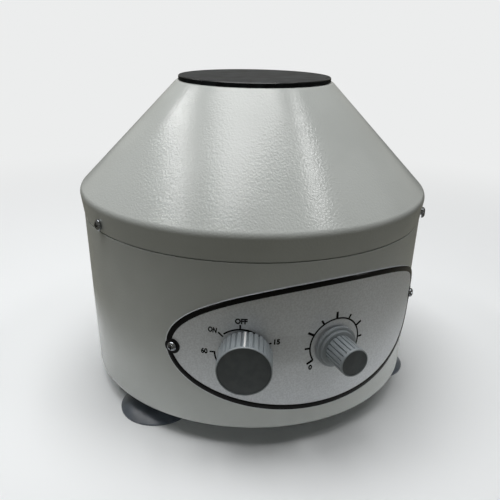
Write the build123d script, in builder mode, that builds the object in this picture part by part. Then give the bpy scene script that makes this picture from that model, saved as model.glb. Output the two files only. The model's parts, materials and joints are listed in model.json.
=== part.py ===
from build123d import *
from math import atan2, cos, degrees, pi, radians, sin
import os

# Bench centrifuge with a hinged lid. Millimetres, +Z up, front towards -Y.
# The origin is on the spin axis at the level of the bench.
# Angles round the housing are measured from the front (-Y) towards +X.

# ---------------------------------------------------------------- housing sizes
foot_height = 14.0
drum_height = 124.0
drum_bottom_radius = 126.4
drum_top_radius = 130.0
drum_bottom_bend = 4.0
drum_sheet = 1.5
floor_hole_radius = 62.0
spigot_height = 12.0
spigot_clearance = 0.3
seam_gap = 0.7

skirt_height = 18.2
shoulder_overhang = 2.4
shoulder_bend = 6.0
cone_top_radius = 58.3
cone_height = 94.7
cone_top_bend = 2.0
opening_bend = 1.6
cover_sheet = 1.2
opening_flange = 6.3
opening_collar = 6.0

cover_screw_angles = (-76.0, 49.0, 167.0)
cover_screw_height = 5.9
cover_screw_head_radius = 4.0
cover_screw_head_height = 2.4
cover_screw_radius = 2.0
cover_screw_tail = 1.0
clip_nut_width = 10.0
clip_nut_thickness = 2.4
clip_nut_gap = 0.15
joggle = 2.0

# ---------------------------------------------------------------- feet and underside
foot_angles = (-65.5, 59.5, 177.0)
foot_inset = 22.0
foot_cup_radius = 27.4
foot_cup_lip = 1.2
foot_cup_depth = 3.0
foot_neck_radius = 9.0
foot_neck_height = 6.5
stud_radius = 2.5
stud_rise = 9.0
stud_sink = 5.0
stud_nut_radius = 4.6
stud_nut_height = 4.0
hole_clearance = 0.3

plate_overlap = 10.0
plate_sheet = 1.2
plate_screw_inset = 5.0
plate_screw_count = 4
plate_screw_head_radius = 3.0
plate_screw_head_height = 1.8
plate_screw_radius = 1.5
plate_screw_length = 7.0
slot_count = 12
slot_inner_radius = 24.0
slot_margin = 12.0
slot_width = 5.0

# ---------------------------------------------------------------- chamber bowl
bowl_drop = 28.0
bowl_rim_width = 9.85
bowl_sheet = 1.0
bowl_bend = 14.0
bowl_rim_bend = 2.5
bowl_rim_depth = 9.0
bowl_rim_rise = 1.5
bowl_collar_radius = 16.0
bowl_collar_height = 5.0
bowl_collar_bend = 2.0
rim_clearance = 0.15
seal_height = 7.0
seal_shaft_gap = 1.0

# ---------------------------------------------------------------- lid and hinge
lid_overlap = 4.7
lid_thickness = 3.3
lid_edge_bevel = 0.5
lid_lift = 0.2
lid_ring_clearance = 1.0
lid_ring_wall = 2.2
lid_ring_depth = 5.0
lid_seal_width = 2.2
lid_seal_inset = 1.1
lid_seal_depth = 1.1
lid_seal_gap = 0.05
hinge_offset = 5.4
hinge_stand_off = 3.9
hinge_barrel_radius = 2.8
hinge_pin_radius = 1.5
hinge_pin_head_radius = 2.3
hinge_pin_head_length = 1.0
hinge_ear_width = 14.0
hinge_lug_width = 6.0
hinge_side_gap = 0.3
hinge_bore_clearance = 0.06
bracket_width = 24.0
bracket_length = 24.0
bracket_sheet = 1.5
bracket_drop = 3.5
bracket_corner = 2.0
bracket_rivet_spacing = 13.0
rivet_radius = 1.6
rivet_head_radius = 2.9
rivet_head_height = 1.4
rivet_tail = 2.0

# ---------------------------------------------------------------- control panel
panel_height = 77.1
panel_half_width = 111.8
panel_half_height = 47.75
panel_tilt = 1.6
panel_thickness = 1.0
panel_screw_inset = 5.8
panel_screw_head_radius = 3.4
panel_screw_head_height = 2.4
panel_screw_radius = 1.75
panel_screw_length = 9.0
panel_washer_radius = 5.4
panel_washer_thickness = 0.5
panel_outline_points = 32

timer_angle = -25.5
timer_height = 74.9
timer_bush_radius = 5.0
timer_bush_length = 8.0
timer_case_radius = 24.0
timer_case_depth = 22.0
timer_case_gap = 2.6
timer_nut_radius = 7.5
timer_nut_height = 2.4
timer_shaft_radius = 3.0
timer_knob_base_radius = 17.7
timer_knob_face_radius = 16.9
timer_knob_edge = 0.7
timer_knob_length = 19.0
timer_knob_gap = 1.2
timer_knob_recess_radius = 12.0
timer_knob_recess = 5.0
timer_knob_flutes = 30
timer_flute_radius = 1.1
timer_flute_bite = 0.5
timer_disc_radius = 15.8
timer_disc_recess = 0.6
timer_disc_thickness = 1.2
pointer_width = 1.1
pointer_depth = 0.8

speed_angle = 1.4
speed_height = 75.7
speed_bush_radius = 3.6
speed_bush_length = 7.0
speed_case_radius = 12.0
speed_case_depth = 11.0
speed_case_gap = 0.9
speed_nut_radius = 5.4
speed_nut_height = 2.0
speed_shaft_radius = 3.0
speed_skirt_radius = 14.8
speed_skirt_height = 2.4
speed_step_radius = 12.6
speed_step_height = 2.0
speed_body_radius = 8.9
speed_face_radius = 9.3
speed_knob_length = 22.8
speed_knob_gap = 1.0
speed_knob_recess = 3.2
speed_knob_recess_radius = 6.6
speed_knob_flutes = 20
speed_flute_radius = 0.8
speed_flute_bite = 0.35
speed_disc_radius = 8.4
speed_disc_recess = 0.4
speed_disc_thickness = 1.0
running_clearance = 0.05

# ---------------------------------------------------------------- motor
isolator_circle = 84.0
isolator_angles = (0.0, 120.0, 240.0)
isolator_height = 12.0
isolator_radius = 9.0
isolator_waist_radius = 7.0
isolator_bolt_radius = 2.5
isolator_bolt_head_radius = 4.2
isolator_bolt_head_height = 3.0
motor_plate_radius = 95.0
motor_plate_sheet = 3.0
motor_plate_hole = 22.0
motor_radius = 44.0
motor_sheet = 1.5
lower_bell_height = 12.0
upper_bell_height = 13.0
bell_wall = 4.0
bell_neck_radius = 15.0
motor_screw_circle = 34.0
motor_screw_radius = 2.0
motor_screw_head_radius = 3.6
motor_screw_head_height = 2.2
motor_screw_length = 7.0
bearing_radius = 11.0
bearing_width = 7.0
shaft_radius = 4.0
stator_bore = 26.5
stator_end_gap = 2.0
stator_start = 20.0
armature_gap = 0.5
armature_slots = 12
bell_shaft_clearance = 3.0
winding_height = 5.5
winding_radius = 22.0
coil_height = 3.6
coil_inner_radius = 29.0
coil_outer_radius = 39.0
coil_sweep = 120.0
commutator_radius = 12.0
commutator_height = 10.0
commutator_start = 3.0
brush_gap = 0.1
brush_width = 6.0
brush_length = 14.0
holder_wall = 1.5
holder_start = 16.0
fan_radius = 24.0
fan_hub_radius = 8.0
fan_blades = 9
fan_height = 5.0
fan_gap = 2.5
fan_top_gap = 1.0
fan_blade_thickness = 1.6

# ---------------------------------------------------------------- rotor
tube_count = 6
tube_tilt = 45.0
tube_mouth_radius = 31.0
tube_mouth_rise = 14.0
sleeve_bore_radius = 11.0
sleeve_wall = 1.0
sleeve_length = 82.0
sleeve_rim_radius = 13.6
sleeve_rim_height = 1.5
pocket_radius = 8.0
pocket_depth = 6.0
sleeve_floor = 1.2
cushion_clearance = 0.1
head_hole_clearance = 0.12
head_seat_clearance = 0.5
head_rim_width = 17.0
head_inner_width = 17.0
head_thickness = 22.0
head_dish_rise = 2.5
hub_radius = 15.0
hub_lift = 46.0
hub_height = 26.0
hub_bore_clearance = 0.03
shaft_collar_radius = 7.0
shaft_collar_height = 6.0
rotor_nut_radius = 8.0
rotor_nut_height = 9.0

# ---------------------------------------------------------------- control board and mains entry
board_angle = 128.0
board_inset = 13.4
board_width = 74.0
board_height = 52.0
board_thickness = 1.6
board_lift = 9.0
standoff_radius = 2.6
standoff_length = 5.0
standoff_inset = 5.0
bracket_plate_sheet = 1.2
bracket_foot_depth = 10.0
sink_width = 26.0
sink_height = 24.0
sink_depth = 9.0
sink_fins = 6
sink_base = 2.0
triac_width = 10.0
triac_height = 15.0
triac_depth = 4.0
capacitor_radius = 6.5
capacitor_length = 11.0
terminal_width = 30.0
terminal_height = 10.0
terminal_depth = 10.0
terminal_ways = 5
terminal_hole_radius = 1.8
terminal_edge = 1.5

gland_angle = 180.0
gland_height = 48.0
gland_thread_radius = 7.6
gland_thread_length = 9.0
gland_flange_radius = 11.0
gland_flange_height = 4.5
gland_neck_radius = 8.0
gland_neck_length = 8.0
gland_dome_radius = 10.4
gland_dome_length = 18.6
gland_dome_gap = 0.5
gland_wall_gap = 0.6
gland_seal_height = 9.0
gland_cable_radius = 4.0
gland_entry_margin = 1.0
gland_seal_radius = 6.4
gland_nut_radius = 11.0
gland_nut_height = 4.5

fuse_angle = 160.0
fuse_height = 48.0
fuse_body_radius = 6.2
fuse_body_length = 32.0
fuse_bore_radius = 4.9
fuse_flange_radius = 9.0
fuse_flange_height = 2.2
fuse_nut_radius = 9.0
fuse_nut_height = 3.0
fuse_cap_radius = 6.6
fuse_cap_length = 9.5
fuse_cap_gap = 0.4
fuse_wall_gap = 0.45
fuse_cap_grooves = 16
fuse_cap_groove_radius = 0.6
fuse_plug_radius = 4.7
fuse_plug_length = 5.0
fuse_tube_radius = 2.6
fuse_tube_length = 20.0

# ---------------------------------------------------------------- places worked out from the above
shoulder_radius = drum_top_radius + shoulder_overhang
opening_radius = cone_top_radius - opening_flange
lid_radius = opening_radius + lid_overlap
hinge_radius = cone_top_radius + hinge_offset
foot_circle_radius = drum_bottom_radius - foot_inset
plate_radius = floor_hole_radius + plate_overlap
plate_screw_circle = plate_radius - plate_screw_inset
slot_outer_radius = floor_hole_radius - slot_margin
board_radius = drum_bottom_radius - board_inset

floor_underside = foot_height
floor_top = floor_underside + drum_sheet
seam_height = floor_underside + drum_height
spigot_radius = drum_top_radius - cover_sheet - spigot_clearance
spigot_top = seam_height + spigot_height
cone_top_height = seam_height + cone_height
motor_plate_bottom = floor_top + isolator_height
motor_plate_top = motor_plate_bottom + motor_plate_sheet
bowl_floor_height = seam_height - bowl_drop
hub_bottom_height = bowl_floor_height + hub_lift
hub_top_height = hub_bottom_height + hub_height
tube_mouth_height = hub_top_height + tube_mouth_rise
can_bottom = motor_plate_top + lower_bell_height
motor_top = bowl_floor_height - fan_top_gap - fan_height - fan_gap
can_top = motor_top - upper_bell_height
can_height = can_top - can_bottom
stator_height = can_height - stator_start - stator_end_gap
stator_bottom = can_bottom + stator_start
stator_top = stator_bottom + stator_height
wall_taper = degrees(atan2(drum_top_radius - drum_bottom_radius, drum_height))
cone_run = shoulder_radius - cone_top_radius
cone_rise = cone_height - skirt_height
cone_slope = degrees(atan2(cone_rise, cone_run))


# ---------------------------------------------------------------- planes and small builders
def wall_radius(height):
    """Outer radius of the drum at a height."""
    share = (height - floor_underside) / drum_height
    return drum_bottom_radius + (drum_top_radius - drum_bottom_radius) * share


def outward(angle, rise=0.0):
    """Unit vector away from the spin axis, lifted by an angle above the horizontal."""
    level = cos(radians(rise))
    return Vector(sin(radians(angle)) * level, -cos(radians(angle)) * level, sin(radians(rise)))


def along(angle):
    """Unit vector along the wall, towards larger angles."""
    return Vector(cos(radians(angle)), sin(radians(angle)), 0)


def radial_plane(angle, radius, height, rise=0.0):
    """Plane that faces away from the spin axis, with its x along the wall and its y up."""
    origin = outward(angle) * radius + Vector(0, 0, height)
    return Plane(origin=origin, x_dir=along(angle), z_dir=outward(angle, rise))


def wall_plane(angle, height, stand_off=0.0):
    """Plane on the tapering wall of the drum, square to it."""
    return radial_plane(angle, wall_radius(height), height, -wall_taper).offset(stand_off)


def section_plane(seat):
    """Plane through the axis of a seat, with x as the radius and y as the height over the seat."""
    return Plane(origin=seat.origin, x_dir=seat.x_dir, z_dir=-seat.y_dir)


def turned(seat, *outline):
    """Solid turned round the axis of a seat from (radius, height) points."""
    with BuildPart() as piece:
        with BuildSketch(section_plane(seat)):
            with BuildLine():
                Polyline(*outline, close=True)
            make_face()
        revolve(axis=Axis(seat.origin, seat.z_dir))
    return piece.part


def pan_screw(seat, head_radius, head_height, shank_radius, shank_length):
    """Cross-recess pan-head screw with the underside of its head on the seat."""
    slot_length = head_radius * 1.15
    slot_gap = head_radius * 0.26
    crown_radius = head_radius * 0.35
    with BuildPart() as piece:
        with BuildSketch(section_plane(seat)):
            with BuildLine():
                Line((0, head_height), (0, -shank_length))
                Line((0, -shank_length), (shank_radius, -shank_length))
                Line((shank_radius, -shank_length), (shank_radius, 0))
                Line((shank_radius, 0), (head_radius, 0))
                Line((head_radius, 0), (head_radius, head_height * 0.35))
                TangentArc(
                    (crown_radius, head_height),
                    (head_radius, head_height * 0.35),
                    tangent=(1, 0),
                )
                Line((crown_radius, head_height), (0, head_height))
            make_face()
        revolve(axis=Axis(seat.origin, seat.z_dir))
        with BuildSketch(seat.offset(head_height)):
            Rectangle(slot_length, slot_gap)
            Rectangle(slot_gap, slot_length)
        extrude(amount=-head_height * 0.6, mode=Mode.SUBTRACT)
    return piece.part


def rivet(seat, head_radius, head_height, shank_radius, shank_length):
    """Domed rivet with the underside of its head on the seat."""
    with BuildPart() as piece:
        with BuildSketch(section_plane(seat)):
            with BuildLine():
                Line((0, head_height), (0, -shank_length))
                Line((0, -shank_length), (shank_radius, -shank_length))
                Line((shank_radius, -shank_length), (shank_radius, 0))
                Line((shank_radius, 0), (head_radius, 0))
                TangentArc((0, head_height), (head_radius, 0), tangent=(1, 0))
            make_face()
        revolve(axis=Axis(seat.origin, seat.z_dir))
    return piece.part


def hex_nut(seat, across_corners_radius, height, hole_radius):
    """Hexagon nut standing on the seat."""
    with BuildPart() as piece:
        with BuildSketch(seat):
            RegularPolygon(across_corners_radius, 6)
            Circle(hole_radius, mode=Mode.SUBTRACT)
        extrude(amount=height)
    return piece.part


os.makedirs("parts", exist_ok=True)

# ================================================================ housing
skirt_flare = (shoulder_radius - drum_top_radius) / (skirt_height - seam_gap)
cover_screw_top = cover_screw_height + cover_screw_head_radius
cover_screw_seat_radius = drum_top_radius + skirt_flare * (cover_screw_top - seam_gap)
bowl_rim_radius = spigot_radius - drum_sheet - rim_clearance - bowl_sheet
clip_nut_radius = bowl_rim_radius - clip_nut_gap
cover_screw_length = cover_screw_seat_radius - clip_nut_radius + clip_nut_thickness + cover_screw_tail
cover_screw_seats = [
    radial_plane(a, cover_screw_seat_radius, seam_height + cover_screw_height)
    for a in cover_screw_angles
]
panel_screw_reach = panel_half_width - panel_screw_inset
panel_screw_turn = degrees(panel_screw_reach * cos(radians(panel_tilt)) / wall_radius(panel_height))
panel_screw_rise = panel_screw_reach * sin(radians(panel_tilt))
panel_seats = [
    wall_plane(side * panel_screw_turn, panel_height + side * panel_screw_rise) for side in (-1, 1)
]
foot_seats = [Plane(outward(a) * foot_circle_radius) for a in foot_angles]
isolator_seats = [Plane(outward(a) * isolator_circle + Vector(0, 0, floor_top)) for a in isolator_angles]
timer_seat = wall_plane(timer_angle, timer_height)
speed_seat = wall_plane(speed_angle, speed_height)
gland_seat = wall_plane(gland_angle, gland_height)
fuse_seat = wall_plane(fuse_angle, fuse_height)
mouth_planes = [
    Plane(
        origin=outward(a) * tube_mouth_radius + Vector(0, 0, tube_mouth_height),
        x_dir=along(a),
        z_dir=outward(a + 180, 90 - tube_tilt),
    )
    for a in [360 / tube_count * i for i in range(tube_count)]
]

with BuildPart() as base_drum:
    with BuildSketch(Plane.XZ) as drum_wall:
        with BuildLine():
            Polyline(
                (floor_hole_radius, floor_underside),
                (drum_bottom_radius, floor_underside),
                (drum_top_radius, seam_height),
                (spigot_radius, seam_height),
                (spigot_radius, spigot_top),
                (spigot_radius - drum_sheet, spigot_top),
                (spigot_radius - drum_sheet, seam_height - joggle),
                (wall_radius(seam_height - 2 * joggle) - drum_sheet, seam_height - 2 * joggle),
                (drum_bottom_radius - drum_sheet, floor_top),
                (floor_hole_radius, floor_top),
                close=True,
            )
        make_face()
        outer_corner = (drum_bottom_radius, floor_underside)
        inner_corner = (drum_bottom_radius - drum_sheet, floor_top)
        fillet(drum_wall.vertices().sort_by_distance(outer_corner)[0], radius=drum_bottom_bend)
        inner_bend = drum_bottom_bend - drum_sheet
        fillet(drum_wall.vertices().sort_by_distance(inner_corner)[0], radius=inner_bend)
    revolve(axis=Axis.Z)
    with BuildSketch(*cover_screw_seats):
        Circle(cover_screw_radius + hole_clearance)
    extrude(amount=-cover_screw_length, mode=Mode.SUBTRACT)
    with BuildSketch(*panel_seats):
        Circle(panel_screw_radius + hole_clearance)
    extrude(amount=panel_screw_length, both=True, mode=Mode.SUBTRACT)
    with BuildSketch(timer_seat):
        Circle(timer_bush_radius + hole_clearance)
    extrude(amount=timer_bush_length, both=True, mode=Mode.SUBTRACT)
    with BuildSketch(speed_seat):
        Circle(speed_bush_radius + hole_clearance)
    extrude(amount=speed_bush_length, both=True, mode=Mode.SUBTRACT)
    with BuildSketch(gland_seat):
        Circle(gland_thread_radius + hole_clearance)
    extrude(amount=gland_thread_length, both=True, mode=Mode.SUBTRACT)
    with BuildSketch(fuse_seat):
        Circle(fuse_body_radius + hole_clearance)
    extrude(amount=fuse_body_radius, both=True, mode=Mode.SUBTRACT)
    with BuildSketch(*foot_seats):
        Circle(stud_radius + hole_clearance)
    extrude(amount=floor_top + drum_sheet, mode=Mode.SUBTRACT)
    with BuildSketch(*isolator_seats):
        Circle(isolator_bolt_radius + hole_clearance)
    extrude(amount=-2 * drum_sheet, mode=Mode.SUBTRACT)
    with BuildSketch(Plane.XY):
        with PolarLocations(plate_screw_circle, plate_screw_count, start_angle=45):
            Circle(plate_screw_radius)
    extrude(amount=floor_top + drum_sheet, mode=Mode.SUBTRACT)
base_drum.part.label = "base_drum"
export_step(base_drum.part, "parts/base_drum.step")

with BuildPart() as bottom_plate:
    with BuildSketch(Plane.XY.offset(floor_underside)):
        Circle(plate_radius)
        with PolarLocations(plate_screw_circle, plate_screw_count, start_angle=45):
            Circle(plate_screw_radius, mode=Mode.SUBTRACT)
        with PolarLocations((slot_inner_radius + slot_outer_radius) / 2, slot_count):
            SlotOverall(slot_outer_radius - slot_inner_radius, slot_width, mode=Mode.SUBTRACT)
    extrude(amount=-plate_sheet)
bottom_plate.part.label = "bottom_plate"
export_step(bottom_plate.part, "parts/bottom_plate.step")

plate_screw_solids = [
    pan_screw(
        Plane(
            origin=outward(45 + 360 / plate_screw_count * i) * plate_screw_circle
            + Vector(0, 0, floor_underside - plate_sheet),
            x_dir=(1, 0, 0),
            z_dir=(0, 0, -1),
        ),
        plate_screw_head_radius,
        plate_screw_head_height,
        plate_screw_radius,
        plate_screw_length,
    )
    for i in range(plate_screw_count)
]
with BuildPart() as bottom_plate_screws:
    add(plate_screw_solids)
bottom_plate_screws.part.label = "bottom_plate_screws"
export_step(bottom_plate_screws.part, "parts/bottom_plate_screws.step")


def suction_foot(seat):
    """Soft suction-cup foot standing on the seat, with a blind hole for its stud."""
    lip_inner = foot_cup_radius - 2 * foot_cup_lip
    neck_start = foot_height - foot_neck_height
    with BuildPart() as piece:
        with BuildSketch(section_plane(seat)):
            with BuildLine():
                ThreePointArc(
                    (0, foot_cup_depth),
                    (lip_inner * 0.6, foot_cup_depth * 0.7),
                    (lip_inner, 0),
                )
                Line((lip_inner, 0), (foot_cup_radius, 0))
                Line((foot_cup_radius, 0), (foot_cup_radius, foot_cup_lip))
                ThreePointArc(
                    (foot_cup_radius, foot_cup_lip),
                    ((foot_cup_radius + foot_neck_radius) / 2 + 1, neck_start * 0.74),
                    (foot_neck_radius, neck_start),
                )
                Line((foot_neck_radius, neck_start), (foot_neck_radius, foot_height))
                Line((foot_neck_radius, foot_height), (stud_radius, foot_height))
                Line((stud_radius, foot_height), (stud_radius, foot_height - stud_sink))
                Line((stud_radius, foot_height - stud_sink), (0, foot_height - stud_sink))
                Line((0, foot_height - stud_sink), (0, foot_cup_depth))
            make_face()
        revolve(axis=Axis(seat.origin, seat.z_dir))
    return piece.part


foot_solids = [suction_foot(seat) for seat in foot_seats]
with BuildPart() as suction_feet:
    add(foot_solids)
suction_feet.part.label = "suction_feet"
export_step(suction_feet.part, "parts/suction_feet.step")

foot_nut_solids = [
    hex_nut(seat.offset(floor_top), stud_nut_radius, stud_nut_height, stud_radius) for seat in foot_seats
]
with BuildPart() as foot_fixings:
    add(foot_nut_solids)
    with BuildSketch(*[seat.offset(foot_height - stud_sink) for seat in foot_seats]):
        Circle(stud_radius)
    extrude(amount=stud_sink + drum_sheet + stud_rise)
foot_fixings.part.label = "foot_fixings"
export_step(foot_fixings.part, "parts/foot_fixings.step")

# ================================================================ cover
cone_normal_rise = 90 - cone_slope
hinge_foot_height = cone_top_height - (hinge_radius - cone_top_radius) * cone_rise / cone_run
hinge_seat = radial_plane(180, hinge_radius, hinge_foot_height, cone_normal_rise)
hinge_axis = hinge_seat.offset(hinge_stand_off).origin
hinge_side = Plane(origin=hinge_seat.origin, x_dir=hinge_seat.y_dir, z_dir=hinge_seat.x_dir)
rivet_row = -bracket_drop - bracket_length / 2
rivet_seats = [
    Plane(
        origin=hinge_seat.offset(bracket_sheet).from_local_coords((x, rivet_row, 0)),
        x_dir=hinge_seat.x_dir,
        z_dir=hinge_seat.z_dir,
    )
    for x in (-bracket_rivet_spacing / 2, bracket_rivet_spacing / 2)
]

with BuildPart() as cone_cover:
    with BuildSketch(Plane.XZ):
        with BuildLine():
            FilletPolyline(
                (drum_top_radius, seam_height + seam_gap),
                (shoulder_radius, seam_height + skirt_height),
                (cone_top_radius, cone_top_height),
                (opening_radius, cone_top_height),
                (opening_radius, cone_top_height - opening_collar),
                radius=(shoulder_bend, cone_top_bend, opening_bend),
            )
            offset(amount=cover_sheet, side=Side.LEFT)
        make_face()
    revolve(axis=Axis.Z)
    with BuildSketch(*cover_screw_seats):
        Circle(cover_screw_radius + hole_clearance)
    extrude(amount=2 * cover_sheet, both=True, mode=Mode.SUBTRACT)
    with BuildSketch(*rivet_seats):
        Circle(rivet_radius)
    extrude(amount=-2 * (bracket_sheet + cover_sheet), mode=Mode.SUBTRACT)
cone_cover.part.label = "cone_cover"
export_step(cone_cover.part, "parts/cone_cover.step")

cover_screw_solids = [
    pan_screw(
        seat,
        cover_screw_head_radius,
        cover_screw_head_height,
        cover_screw_radius,
        cover_screw_length,
    )
    for seat in cover_screw_seats
]
with BuildPart() as cover_screws:
    add(cover_screw_solids)
cover_screws.part.label = "cover_screws"
export_step(cover_screws.part, "parts/cover_screws.step")

# ================================================================ chamber bowl
bowl_radius = bowl_rim_radius - bowl_rim_width
bowl_rim_height = spigot_top + bowl_rim_rise

with BuildPart() as chamber_bowl:
    with BuildSketch(Plane.XZ):
        with BuildLine():
            FilletPolyline(
                (bowl_collar_radius, bowl_floor_height + bowl_collar_height),
                (bowl_collar_radius, bowl_floor_height),
                (bowl_radius, bowl_floor_height),
                (bowl_radius, bowl_rim_height),
                (bowl_rim_radius, bowl_rim_height),
                (bowl_rim_radius, bowl_rim_height - bowl_rim_depth - bowl_rim_rise),
                radius=(bowl_collar_bend, bowl_bend, bowl_rim_bend, bowl_rim_bend),
            )
            offset(amount=bowl_sheet, side=Side.LEFT)
        make_face()
    revolve(axis=Axis.Z)
    with BuildSketch(*cover_screw_seats):
        Circle(cover_screw_radius + hole_clearance)
    extrude(amount=-cover_screw_length, mode=Mode.SUBTRACT)
chamber_bowl.part.label = "chamber_bowl"
export_step(chamber_bowl.part, "parts/chamber_bowl.step")

clip_nut_seats = [
    radial_plane(a, clip_nut_radius, seam_height + cover_screw_height)
    for a in cover_screw_angles
]
with BuildPart() as clip_nuts:
    with BuildSketch(*clip_nut_seats):
        Rectangle(clip_nut_width, clip_nut_width)
        Circle(cover_screw_radius, mode=Mode.SUBTRACT)
    extrude(amount=-clip_nut_thickness)
clip_nuts.part.label = "clip_nuts"
export_step(clip_nuts.part, "parts/clip_nuts.step")

seal_bore = shaft_radius + seal_shaft_gap
seal_lip_radius = bowl_collar_radius + 2.5 * bowl_sheet
collar_top = bowl_floor_height + bowl_collar_height
shaft_seal_solid = turned(
    Plane.XY,
    (seal_bore, collar_top - seal_height / 2),
    (bowl_collar_radius, bowl_floor_height),
    (bowl_collar_radius, collar_top),
    (seal_lip_radius, collar_top),
    (seal_lip_radius, collar_top + bowl_sheet),
    (seal_bore + bowl_collar_radius / 4, collar_top + seal_height / 3),
    (seal_bore, collar_top),
)
with BuildPart() as shaft_seal:
    add(shaft_seal_solid)
shaft_seal.part.label = "shaft_seal"
export_step(shaft_seal.part, "parts/shaft_seal.step")

# ================================================================ hinge and lid
ear_half = hinge_ear_width / 2
lug_start = ear_half + hinge_side_gap
lug_end = lug_start + hinge_lug_width
lid_bottom = cone_top_height + lid_lift
lid_top = lid_bottom + lid_thickness
lid_ring_radius = opening_radius - lid_ring_clearance
lid_seal_outer = lid_radius - lid_seal_inset
lid_seal_inner = lid_seal_outer - lid_seal_width

with BuildPart() as hinge_bracket:
    with BuildSketch(hinge_seat):
        with Locations((0, rivet_row)):
            RectangleRounded(bracket_width, bracket_length, bracket_corner)
    extrude(amount=bracket_sheet)
    with BuildSketch(hinge_side):
        with BuildLine():
            Polyline(
                (-3 * hinge_barrel_radius, 0),
                (0.5 * hinge_barrel_radius, 0),
                (hinge_barrel_radius, hinge_stand_off),
                (0, hinge_stand_off + hinge_barrel_radius),
                (-3 * hinge_barrel_radius, bracket_sheet),
                close=True,
            )
        make_face()
        with Locations((0, hinge_stand_off)):
            Circle(hinge_barrel_radius)
    extrude(amount=ear_half, both=True)
    with BuildSketch(hinge_side):
        with Locations((0, hinge_stand_off)):
            Circle(hinge_pin_radius)
    extrude(amount=hinge_ear_width, both=True, mode=Mode.SUBTRACT)
    with BuildSketch(*rivet_seats):
        Circle(rivet_radius)
    extrude(amount=-2 * bracket_sheet, mode=Mode.SUBTRACT)
hinge_bracket.part.label = "hinge_bracket"
export_step(hinge_bracket.part, "parts/hinge_bracket.step")

rivet_length = bracket_sheet + cover_sheet + rivet_tail
hinge_rivet_solids = [
    rivet(seat, rivet_head_radius, rivet_head_height, rivet_radius, rivet_length) for seat in rivet_seats
]
with BuildPart() as hinge_rivets:
    add(hinge_rivet_solids)
hinge_rivets.part.label = "hinge_rivets"
export_step(hinge_rivets.part, "parts/hinge_rivets.step")

pin_start = lug_end + hinge_side_gap
hinge_pin_plane = Plane(origin=hinge_axis, x_dir=(0, 1, 0), z_dir=(1, 0, 0))
with BuildPart() as hinge_pin:
    with BuildSketch(hinge_pin_plane):
        Circle(hinge_pin_radius)
    extrude(amount=pin_start, both=True)
    with BuildSketch(hinge_pin_plane.offset(pin_start)):
        Circle(hinge_pin_head_radius)
    extrude(amount=hinge_pin_head_length)
    with BuildSketch(hinge_pin_plane.offset(-pin_start)):
        Circle(hinge_pin_head_radius)
    extrude(amount=-hinge_pin_head_length)
hinge_pin.part.label = "hinge_pin"
export_step(hinge_pin.part, "parts/hinge_pin.step")

with BuildPart() as lid:
    with BuildSketch(Plane.XZ):
        with BuildLine():
            Polyline(
                (0, lid_bottom),
                (lid_ring_radius - lid_ring_wall, lid_bottom),
                (lid_ring_radius - lid_ring_wall, lid_bottom - lid_ring_depth),
                (lid_ring_radius, lid_bottom - lid_ring_depth),
                (lid_ring_radius, lid_bottom),
                (lid_seal_inner, lid_bottom),
                (lid_seal_inner, lid_bottom + lid_seal_depth),
                (lid_seal_outer, lid_bottom + lid_seal_depth),
                (lid_seal_outer, lid_bottom),
                (lid_radius, lid_bottom),
                (lid_radius, lid_top - lid_edge_bevel),
                (lid_radius - lid_edge_bevel, lid_top),
                (0, lid_top),
                close=True,
            )
        make_face()
    revolve(axis=Axis.Z)
    for side in (-1, 1):
        with BuildSketch(Plane.YZ.offset(side * (lug_start + lug_end) / 2)):
            with BuildLine():
                Polyline(
                    (lid_seal_outer, lid_bottom),
                    (cone_top_radius, lid_bottom),
                    (
                        hinge_axis.Y - 0.96 * hinge_barrel_radius,
                        hinge_axis.Z - 0.2 * hinge_barrel_radius,
                    ),
                    (hinge_axis.Y, hinge_axis.Z + hinge_barrel_radius),
                    (lid_radius, lid_top - lid_edge_bevel),
                    (lid_seal_outer, lid_top - lid_edge_bevel),
                    close=True,
                )
            make_face()
            with Locations((hinge_axis.Y, hinge_axis.Z)):
                Circle(hinge_barrel_radius)
                Circle(hinge_pin_radius + hinge_bore_clearance, mode=Mode.SUBTRACT)
        extrude(amount=hinge_lug_width / 2, both=True)
lid.part.label = "lid"
export_step(lid.part, "parts/lid.step")

lid_seal_solid = turned(
    Plane.XY,
    (lid_seal_inner, cone_top_height + lid_seal_gap),
    (lid_seal_outer, cone_top_height + lid_seal_gap),
    (lid_seal_outer, lid_bottom + lid_seal_depth),
    (lid_seal_inner, lid_bottom + lid_seal_depth),
)
with BuildPart() as lid_seal:
    add(lid_seal_solid)
lid_seal.part.label = "lid_seal"
export_step(lid_seal.part, "parts/lid_seal.step")

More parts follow.
